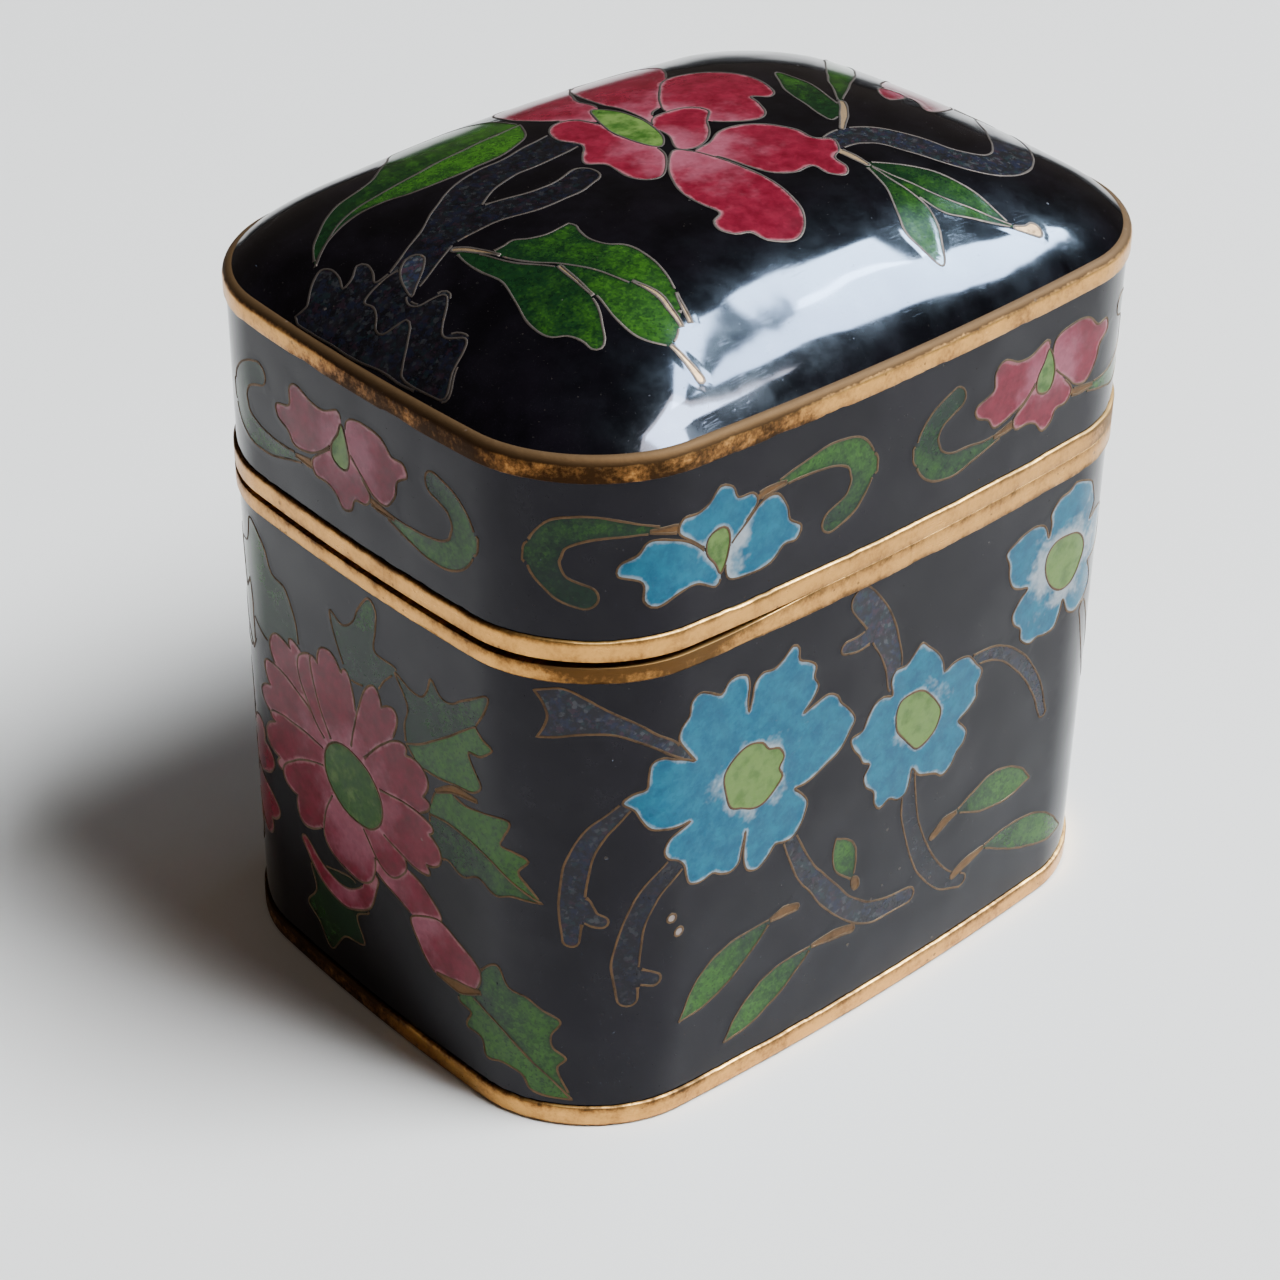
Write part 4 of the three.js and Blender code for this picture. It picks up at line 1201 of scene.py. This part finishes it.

# %% [markdown]
# ## Brass
# The bands and wires are the same yellow brass. It was polished with the enamel and has
# tarnished since: brown clouds in the open, darker ones along the edges, partly dirt and partly
# painted shade, and small pits from the firing. Each band also has a dark cloud of its own,
# partly stain and partly painted shade.

# %% Brass material
def brass(name, amount, bright, brown, rough=0.0, stain_and_shade=None):
    """A metal. Its dark cloud, given by a middle and a radius, is partly stain and partly painted shade.
    Bands also know their edges, darkened by wear and painted shade.
    """
    material, g = new_material(name)
    place = g.use(place_group)["Place"]
    wear_and_shade = g.use(cell_group)["Edge"] if stain_and_shade else 0.2
    # A dark cloud round a point on a band: partly stain, partly painted shade.
    cloud = 0.0
    if stain_and_shade:
        middle, radius = stain_and_shade
        away = g.add("ShaderNodeVectorMath", {0: place, 1: middle}, operation="DISTANCE").outputs["Value"]
        cloud = g.step(away, radius * 0.45, radius, 1.0, 0.0)
    tarnish_and_shade = g.use(tarnish_and_shade_group, Place=place, Wear=wear_and_shade, Amount=amount, Stain=cloud)
    colour = g.mix(tarnish_and_shade["Brown"], bright, brown)
    colour = g.mix(tarnish_and_shade["Dark"], colour, (0.022, 0.01, 0.004, 1))
    colour = g.mix(g.math("MULTIPLY", tarnish_and_shade["Pit"], 0.6), colour, (0.06, 0.032, 0.018, 1))
    bump = g.add("ShaderNodeBump", {"Height": tarnish_and_shade["Height"], "Strength": 1.0, "Distance": MM})
    blur = g.math("ADD", tarnish_and_shade["Roughness"], rough, clamp=True)
    metal = g.add("ShaderNodeBsdfPrincipled", {"Base Color": colour, "Roughness": blur, "Metallic": 1.0,
                                               "Normal": bump.outputs["Normal"]})
    g.add("ShaderNodeOutputMaterial", {"Surface": metal.outputs["BSDF"]})
    return material


GOLDEN, BROWN = (0.57, 0.285, 0.07, 1), (0.21, 0.088, 0.025, 1)
# Each band's dark cloud is partly stain and partly painted shade; the foot's and the shoulder's lie on the
# shaded left.
band_brass = {
    "foot_brass": brass("Brass foot", 0.88, GOLDEN, BROWN, stain_and_shade=((-26.0, 10.0, 1.0), 15.0)),
    "mouth_brass": brass("Brass mouth", 0.75, GOLDEN, BROWN, stain_and_shade=((-19.0, -19.3, 32.6), 9.5)),
    "rim_brass": brass("Brass rim", 0.65, GOLDEN, BROWN, stain_and_shade=((22.0, -18.0, 34.4), 7.0)),
    "shoulder_brass": brass("Brass shoulder", 0.95, GOLDEN, BROWN, stain_and_shade=((-22.0, -12.0, 46.4), 21.0)),
}
wire_brass = {
    "base": brass("Brass wires of the base", 0.8, (0.105, 0.06, 0.03, 1), (0.048, 0.029, 0.018, 1),
                  rough=0.22),
    "skirt": brass("Brass wires of the skirt", 0.8, (0.1, 0.058, 0.03, 1), (0.045, 0.028, 0.018, 1),
                   rough=0.22),
    "dome": brass("Brass wires of the dome", 0.8, (0.034, 0.021, 0.014, 1), (0.018, 0.012, 0.009, 1),
                  rough=0.22),
}
stem_brass = brass("Brass stems", 0.7, (0.13, 0.066, 0.027, 1), (0.058, 0.031, 0.016, 1), rough=0.18)
enamels["gold"] = stem_brass
ORDER = list(enamels)
print("metals:", [metal.name for metal in (*band_brass.values(), *wire_brass.values(), stem_brass)])

# %% [markdown]
# ## Laying the skins on the box
# The flat sheets now become solid pieces. Each skin joins the lining behind it along its edge,
# so the base is one closed vessel with true wall thickness, the lid's skirt is a closed ring
# and the dome is a closed shell. The direction of every point's normal is known from the rule
# that placed it and is stored with the mesh, which keeps reflections smooth.

# %% Meshes from parts
class Parts:
    """Collects triangles and quads with their normals, materials and cell data, in millimetres."""

    def __init__(self):
        self.points = []
        self.faces = []
        self.normals = []
        self.kinds = []
        self.data = []
        self.count = 0

    def add(self, points, faces, kinds, normals=None, data=None):
        """`normals` and `data` hold one row for each corner of each face."""
        corners = sum(len(face) for face in faces)
        self.points.append(np.asarray(points, float))
        self.faces += [[int(i) + self.count for i in face] for face in faces]
        self.normals.append(np.zeros((corners, 3)) if normals is None else normals)
        self.kinds += list(kinds)
        self.data.append(np.full((corners, 4), 0.5) if data is None else data)
        self.count += len(points)

    def weld(self, tolerance=0.002):
        """Joins points that lie on each other, and drops faces that vanish."""
        points = np.concatenate(self.points)
        tree = kdtree.KDTree(len(points))
        for i, point in enumerate(points):
            tree.insert(point, i)
        tree.balance()
        first = [min(hit[1] for hit in tree.find_range(point, tolerance)) for point in points]
        kept = sorted(set(first))
        place = {old: new for new, old in enumerate(kept)}
        normals = np.concatenate(self.normals)
        data = np.concatenate(self.data)
        faces, kinds, corners = [], [], []
        corner = 0
        for face, kind in zip(self.faces, self.kinds):
            joined = [place[first[i]] for i in face]
            if len(set(joined)) == len(joined):
                faces.append(joined)
                kinds.append(kind)
                corners += range(corner, corner + len(face))
            corner += len(face)
        return points[kept], faces, kinds, normals[corners], data[corners]

    def mesh(self, name, materials, crease=40):
        points, faces, kinds, normals, data = self.weld()
        mesh = bpy.data.meshes.new(name)
        mesh.from_pydata(points * MM, [], faces)
        for material in materials:
            mesh.materials.append(material)
        mesh.polygons.foreach_set("material_index", kinds)
        mesh.shade_smooth()
        mesh.set_sharp_from_angle(angle=math.radians(crease))
        stored = mesh.color_attributes.new("cell", "FLOAT_COLOR", "CORNER")
        stored.data.foreach_set("color", data.astype(np.float32).ravel())
        mesh.normals_split_custom_set(normals)
        piece = bpy.data.objects.new(name, mesh)
        bpy.context.scene.collection.objects.link(piece)
        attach(piece, "root")
        print(f"{name}: {len(points)} points, {len(faces)} faces")
        return piece


def add_field(parts, name):
    """The enamelled face of one field, with each corner's distance from a wire and from its heart."""
    (flat, faces, owner), cells, place = fields[name]
    points, normals = place(flat)
    edge = distance_to(flat, np.concatenate([line for line, _ in wires[name]])) / EDGE_FULL
    corners = faces.ravel()
    owners = np.repeat(owner, 3)
    hearts = np.array([cell.heart for cell in cells] + [(0, 0)])
    reaches = np.array([cell.reach for cell in cells] + [1])
    tints = np.array([cell.tint for cell in cells] + [0.5])
    along = np.linalg.norm(flat[corners] - hearts[owners], axis=1) / reaches[owners]
    data = np.column_stack([edge[corners], along, tints[owners], np.ones(len(corners))])
    kinds = [ORDER.index(cells[i].enamel) if i >= 0 else 0 for i in owner]
    parts.add(points, faces, kinds, normals[corners], np.clip(data, 0, 1))


def loop(out, z, seam=0.0, steps=BORDER_STEPS):
    """A ring of points round the box."""
    u = seam + GIRTH * np.arange(steps) / steps
    point = plan_at(u, out)[0]
    return np.column_stack([point, np.broadcast_to(z, steps)])


def add_loops(parts, loops, kinds, closed=False, wear_and_shade=None):
    """Quads between neighbouring rings. `kinds` is one material or one for each gap between rings."""
    steps = len(loops[0])
    gaps = len(loops) if closed else len(loops) - 1
    kinds = [kinds] * gaps if isinstance(kinds, int) else kinds
    faces, face_kinds, data = [], [], []
    for k in range(gaps):
        other = (k + 1) % len(loops)
        for i in range(steps):
            j = (i + 1) % steps
            faces.append((k * steps + i, k * steps + j, other * steps + j, other * steps + i))
            face_kinds.append(kinds[k])
            if wear_and_shade is not None:
                data += [(wear_and_shade[k] / EDGE_FULL, 0, 0, 1)] * 2 + [(wear_and_shade[other] / EDGE_FULL, 0, 0, 1)] * 2
    parts.add(np.concatenate(loops), faces, face_kinds, data=np.array(data) if wear_and_shade is not None else None)


def add_end(parts, ring, height, kind, up, rings=5):
    """Closes a ring with smaller and smaller rings and a point in the middle."""
    shares = np.linspace(1, 0, rings + 1)[:-1]
    loops = [np.column_stack([ring[:, :2] * share, height(ring[:, :2] * share)]) for share in shares]
    if not up:
        loops = [loop[::-1] for loop in loops]
    add_loops(parts, loops, kind)
    steps = len(ring)
    middle = np.array([[0, 0, height(np.zeros((1, 2)))[0]]])
    fan = [(i, (i + 1) % steps, steps) for i in range(steps)]
    parts.add(np.concatenate([loops[-1], middle]), fan, [kind] * steps)


lining = ORDER.index("lining")
WALL, FLOOR, FILLET = 1.3, 1.3, 1.4  # thickness of wall and floor, and the round between them

# %% Base, skirt and dome
base = Parts()
add_field(base, "base")
quarter = np.linspace(0, math.pi / 2, 7)
inner = [loop(-WALL - FILLET * (1 - math.cos(turn)), FOOT_TOP + FLOOR + FILLET * (1 - math.sin(turn)),
              BASE_SEAM)
         for turn in quarter]
upright = [loop(-WALL, z, BASE_SEAM) for z in np.linspace(BASE_TOP, FOOT_TOP + FLOOR + FILLET, 5)[:-1]]
add_loops(base, [loop(-SET_BACK, BASE_TOP, BASE_SEAM), *upright, *inner], lining)
add_end(base, inner[-1], lambda p: np.full(len(p), FOOT_TOP + FLOOR), lining, up=True)
add_end(base, loop(-SET_BACK, FOOT_TOP, BASE_SEAM), lambda p: np.full(len(p), FOOT_TOP), lining, up=False)
base_piece = base.mesh("base_enamel", [enamels[kind] for kind in ORDER])
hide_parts("box_body")

skirt = Parts()
add_field(skirt, "skirt")
back = [loop(-WALL, z, SKIRT_SEAM) for z in np.linspace(SHOULDER_BOTTOM, RIM_TOP, 4)]
add_loops(skirt, [loop(-SET_BACK, SHOULDER_BOTTOM, SKIRT_SEAM), *back,
                  loop(-SET_BACK, RIM_TOP, SKIRT_SEAM)], lining)
skirt_piece = skirt.mesh("skirt_enamel", [enamels[kind] for kind in ORDER])
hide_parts("lid_skirt")

DOME_SEAT = 1.15
DOME_THICKNESS = 1.1
hollow = Dome(-DOME_INSET - DOME_SEAT, CROWN - DOME_EDGE_LEVEL - DOME_THICKNESS, DOME_EDGE_LEVEL)
lid = Parts()
add_field(lid, "dome")
rim = loop(-DOME_INSET, DOME_EDGE_LEVEL)
seat = loop(-DOME_INSET - DOME_SEAT, DOME_EDGE_LEVEL)
add_loops(lid, [seat, rim], lining)
shares = np.concatenate([[1.0, 0.985, 0.96, 0.93, 0.89, 0.84], np.linspace(0.78, 0.08, 10)])
inner = []
for share in shares:
    flat = seat[:, :2] * share
    inner.append(np.column_stack([flat, hollow.height(*flat.T) if share < 1 else seat[:, 2]]))
add_loops(lid, [ring[::-1] for ring in inner], lining)
crown = np.array([[0, 0, hollow.height(np.zeros(1), np.zeros(1))[0]]])
fan = [(i, (i + 1) % BORDER_STEPS, BORDER_STEPS) for i in range(BORDER_STEPS)]
lid.add(np.concatenate([inner[-1][::-1], crown]), fan, [lining] * BORDER_STEPS)
dome_piece = lid.mesh("dome_enamel", [enamels[kind] for kind in ORDER])
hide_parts("lid_dome")

# %% [markdown]
# ## Wires
# A cloison is a flat strip that stands on edge. After grinding, only its top shows, as a
# thin line, here 0.16 mm wide. Each line gets a small closed section that reaches a little into
# the glass, and its width wanders as a hand-rolled strip does. The wires look darker on the dome
# than on the walls, so each field has its own shade of brass.

# %% Wires as closed strips
WIRE_WIDTH = 0.16
WIRE_CREST = 0.028


def add_wire(parts, line, closed, place):
    """One wire along a flat line."""
    points, normals = place(line)
    if closed:
        along = np.roll(points, -1, axis=0) - np.roll(points, 1, axis=0)
    else:
        along = np.gradient(points, axis=0)
    along /= np.maximum(np.linalg.norm(along, axis=1), 1e-9)[:, None]
    side = np.cross(normals, along)
    before = np.roll(along, 1, axis=0)
    mitre = 1 / np.clip(np.sqrt((1 + (along * before).sum(axis=1)) / 2), 0.6, 1)
    wander = np.array([noise.noise(Vector(p) * 0.8) for p in points])
    half = (WIRE_WIDTH / 2 * (1 + 0.3 * wander) * mitre)[:, None]
    section = [(-1.0, -0.05), (-0.85, 0.6 * WIRE_CREST), (-0.4, WIRE_CREST), (0.4, WIRE_CREST),
               (0.85, 0.6 * WIRE_CREST), (1.0, -0.05)]
    rings = [points + side * half * across + normals * up for across, up in section]
    count = len(points)
    sides = len(section)
    faces = []
    last = count if closed else count - 1
    for i in range(last):
        j = (i + 1) % count
        for k in range(sides):
            other = (k + 1) % sides
            faces.append((k * count + i, other * count + i, other * count + j, k * count + j))
    if not closed:
        faces.append([k * count for k in range(sides)][::-1])
        faces.append([k * count + count - 1 for k in range(sides)])
    parts.add(np.concatenate(rings), faces, [0] * len(faces))


for name, (_, _, place) in fields.items():
    parts = Parts()
    for line, closed in wires[name]:
        add_wire(parts, line, closed, place)
    piece = parts.mesh(name + "_wires", [wire_brass[name]], crease=60)

# %% [markdown]
# ## Brass bands
# Four strips of brass finish the edges: the foot, the mouth of the base, the rim of the lid
# and the shoulder. Their long edges were rubbed down by hand together with the enamel, so
# they aren't straight, and they are darker along them, partly from dirt and partly as painted
# shade in the notches. The mouth also carries the thin collar that holds the lid in place.

# %% Bands
BAND_STEPS = 480
band_u = GIRTH * np.arange(BAND_STEPS) / BAND_STEPS
band_plan = plan_at(band_u)[0]


def ragged(seed, size=0.13):
    """Uneven line round the box, as a change of level."""
    turn = [Vector((x * 0.35, y * 0.35, seed)) for x, y in band_plan]
    fine = [Vector((x * 1.5, y * 1.5, seed + 5)) for x, y in band_plan]
    return np.array([noise.noise(a) + 0.5 * noise.noise(b) for a, b in zip(turn, fine)]) * size


def quarter_round(out, z, radius, start, steps=4):
    """Points of a rounded edge: the corner's place, its radius and the angle where it starts."""
    turn = np.radians(start) + np.linspace(0, math.pi / 2, steps)
    return [(out + radius * math.cos(a), z + radius * math.sin(a)) for a in turn]


def band(name, section, node, moves, edges):
    """A ring with a section of (out, z). `moves` shifts levels, `edges` tells how dark a corner is, from wear
    and painted shade.
    """
    parts = Parts()
    loops = [loop(out, z + moves(i, z), steps=BAND_STEPS) for i, (out, z) in enumerate(section)]
    add_loops(parts, loops, 0, closed=True, wear_and_shade=[edges(out, z) for out, z in section])
    piece = parts.mesh(name, [band_brass[name]], crease=50)
    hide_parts(node)
    return piece


PROUD = 0.15  # how far a band stands out from the wall
EDGE = 0.12  # radius of a rubbed edge
CRISP = 0.04  # radius of the edges at the seam
FOOT_BACK = -1.8
foot_section = [(FOOT_BACK, 0), (-0.09, 0), (0.06, 0.07), (0.13, 0.16), (PROUD, 0.28), (PROUD, 0.6),
                (PROUD, 1.0), *quarter_round(PROUD - EDGE, FOOT_TOP - EDGE, EDGE, 0), (FOOT_BACK, FOOT_TOP)]
foot_line = ragged(1)
band("foot_brass", foot_section, "foot_band",
     lambda i, z: np.minimum(foot_line, 0) if 0.9 < z else 0,
     lambda out, z: 0.6 * (z > 1.3) + 0.5 * (z < 0.2))

SUNK_BY = 0.4  # the mouth has sunk at the left end, which opens the seam there
SUNK_FROM, SUNK_RAMP = -6, 9
COLLAR_OUT, COLLAR_IN = -1.6, -2.2
COLLAR_FOOT, COLLAR_TOP = level("mouth_band", 0), level("mouth_band", 1)
share = np.clip((SUNK_FROM - band_plan[:, 0]) / SUNK_RAMP, 0, 1)
sunk = -SUNK_BY * share**2 * (3 - 2 * share)
mouth_section = [*quarter_round(PROUD - EDGE, BASE_TOP + EDGE, EDGE, -90), (PROUD, 33.1), (PROUD, 33.5),
                 *quarter_round(PROUD - CRISP, SEAM - CRISP, CRISP, 0), (-0.8, SEAM),
                 (COLLAR_OUT, SEAM), (COLLAR_OUT, COLLAR_TOP - 1.8), (COLLAR_OUT - 0.06, COLLAR_TOP - 0.1),
                 (COLLAR_OUT - 0.14, COLLAR_TOP), (COLLAR_IN + 0.1, COLLAR_TOP),
                 (COLLAR_IN, COLLAR_TOP - 0.1), (COLLAR_IN, COLLAR_FOOT), (COLLAR_OUT, COLLAR_FOOT),
                 (COLLAR_OUT, BASE_TOP)]
mouth_line = ragged(2, 0.17)
band("mouth_brass", mouth_section, "mouth_band",
     lambda i, z: (np.maximum(mouth_line, 0) if i < 4 else 0) + (sunk if 3 < i < 11 else 0),
     lambda out, z: 0.7 * (z < 32.8 or 33.9 < z < 34.2))

rim_line = ragged(3)
rim_section = [*quarter_round(PROUD - CRISP, SEAM + CRISP, CRISP, -90), (PROUD, 34.5), (PROUD, 35.0),
               *quarter_round(PROUD - EDGE, RIM_TOP - EDGE, EDGE, 0), (-WALL, RIM_TOP), (-WALL, SEAM)]
band("rim_brass", rim_section, "lid_rim",
     lambda i, z: np.minimum(rim_line, 0) if 5 < i < 10 else 0,
     lambda out, z: 0.8 * (z > 35.2) + 0.4 * (z < 34.3))

SHOULDER_TOP = DOME_EDGE_LEVEL
shoulder_line = ragged(4, 0.17)
shoulder_section = [*quarter_round(PROUD - EDGE, SHOULDER_BOTTOM + EDGE, EDGE, -90), (PROUD, 45.8),
                    *quarter_round(PROUD - 0.6, SHOULDER_TOP - 0.6, 0.6, 0, 7), (-WALL, SHOULDER_TOP),
                    (-WALL, SHOULDER_BOTTOM)]
band("shoulder_brass", shoulder_section, "shoulder_band",
     lambda i, z: np.maximum(shoulder_line, 0) if i < 4 else 0,
     lambda out, z: 0.2 * (z < 45.6) + 1.6 * np.clip((z - SHOULDER_TOP + 0.45) / 0.3, 0, 1))

# %% [markdown]
# ## Floor, light and camera
# The box stands on a pale floor in soft daylight. Glossy black shows nothing but what it
# mirrors, so the light is set for its reflections: a bright window for the dome's front, a
# pale floor for the walls and a quieter room above, which keeps the crown dark. The window is
# made of panes that show in reflections only, so it can be bright without lighting the floor.
# Further out the floor is painted dark, a painted fall-off of the light that keeps the far
# floor dark in the glass.

# %% Floor
def flat_panel(name, width, depth, material):
    mesh = bpy.data.meshes.new(name)
    x, y = width / 2, depth / 2
    mesh.from_pydata([(-x, -y, 0), (x, -y, 0), (x, y, 0), (-x, y, 0)], [], [(0, 1, 2, 3)])
    mesh.materials.append(material)
    panel = bpy.data.objects.new(name, mesh)
    bpy.context.scene.collection.objects.link(panel)
    return panel


floor_material, g = new_material("Pale floor")
place = g.use(place_group)["Place"]
cloud = g.noise(place, 0.02, 3.0)
colour = g.mix(cloud, (0.85, 0.84, 0.81, 1), (0.88, 0.87, 0.845, 1))
# Painted fall-off of the light: from 250 to 700 mm away the floor's colour darkens to a dark grey.
away = g.add("ShaderNodeVectorMath", {0: place}, operation="LENGTH").outputs["Value"]
colour = g.mix(g.step(away, 250.0, 700.0), colour, (0.12, 0.115, 0.11, 1))
floor_shader = g.add("ShaderNodeBsdfPrincipled", {"Base Color": colour, "Roughness": 0.9,
                                                  "Specular IOR Level": 0.1})
g.add("ShaderNodeOutputMaterial", {"Surface": floor_shader.outputs["BSDF"]})
floor = flat_panel("floor", 6, 6, floor_material)
print("floor is", tuple(round(size, 2) for size in floor.dimensions), "m")

# %% Camera
AZIMUTH, ELEVATION, ROLL = -42.29, 33.87, 0.83
camera_place = Vector((-113.28, -121.13, 129.1)) * MM
az, el, roll = (math.radians(angle) for angle in (AZIMUTH, ELEVATION, ROLL))
back = Vector((math.sin(az) * math.cos(el), -math.cos(az) * math.cos(el), math.sin(el)))
level_right = Vector((math.cos(az), math.sin(az), 0))
level_up = back.cross(level_right)
right = level_right * math.cos(roll) + level_up * math.sin(roll)
up = level_up * math.cos(roll) - level_right * math.sin(roll)
camera_data = bpy.data.cameras.new("camera")
camera_data.sensor_width = 36
camera_data.lens = 86.88
camera_data.clip_start = 0.01
camera = bpy.data.objects.new("camera", camera_data)
camera.matrix_world = Matrix.Translation(camera_place) @ Matrix((right, up, back)).transposed().to_4x4()
bpy.context.scene.collection.objects.link(camera)
bpy.context.scene.camera = camera
print("camera", [round(v, 3) for v in camera.location], "lens", camera_data.lens)

# %% Light
def softbox(name, place, target, width, height, power, colour=(1, 1, 1)):
    lamp = bpy.data.lights.new(name, "AREA")
    lamp.shape = "RECTANGLE"
    lamp.size = width
    lamp.size_y = height
    lamp.energy = power
    lamp.color = colour
    box = bpy.data.objects.new(name, lamp)
    box.location = place
    box.rotation_euler = (Vector(target) - Vector(place)).to_track_quat("-Z", "Y").to_euler()
    bpy.context.scene.collection.objects.link(box)
    print(name, "at", tuple(place), "gives", power, "W")
    return box


world = bpy.data.worlds.new("room")
bpy.context.scene.world = world
world.use_nodes = True
g = Graph(world.node_tree)
sky = g.add("ShaderNodeBackground", {"Color": (0.095, 0.079, 0.067, 1), "Strength": 1.0})
g.add("ShaderNodeOutputWorld", {"Surface": sky.outputs["Background"]})


def toward(azimuth, elevation, distance):
    """A point in a direction from the box. Azimuth 0 is the front and 90 the right end."""
    a, e = math.radians(azimuth), math.radians(elevation)
    return Vector((math.sin(a) * math.cos(e), -math.cos(a) * math.cos(e), math.sin(e))) * distance


softbox("daylight", toward(34, 59, 1.2), (0, 0, 0.04), 0.5, 0.5, 40, (0.92, 0.96, 1.0))
for name, place, width, height, power in (
    ("side pane", toward(37, 58, 1.1), 0.32, 0.42, 78),
    ("upper pane", toward(79, 64.2, 1.1), 0.46, 0.13, 35),
    ("lower pane", toward(73, 47.5, 1.1), 0.32, 0.37, 66),
    ("right pane", toward(93.0, 52.5, 1.1), 0.25, 0.19, 26),
):
    pane = softbox(name, place, (0, 0, 0.04), width, height, power, (0.52, 0.75, 1.0))
    pane.visible_diffuse = False  # only for reflections
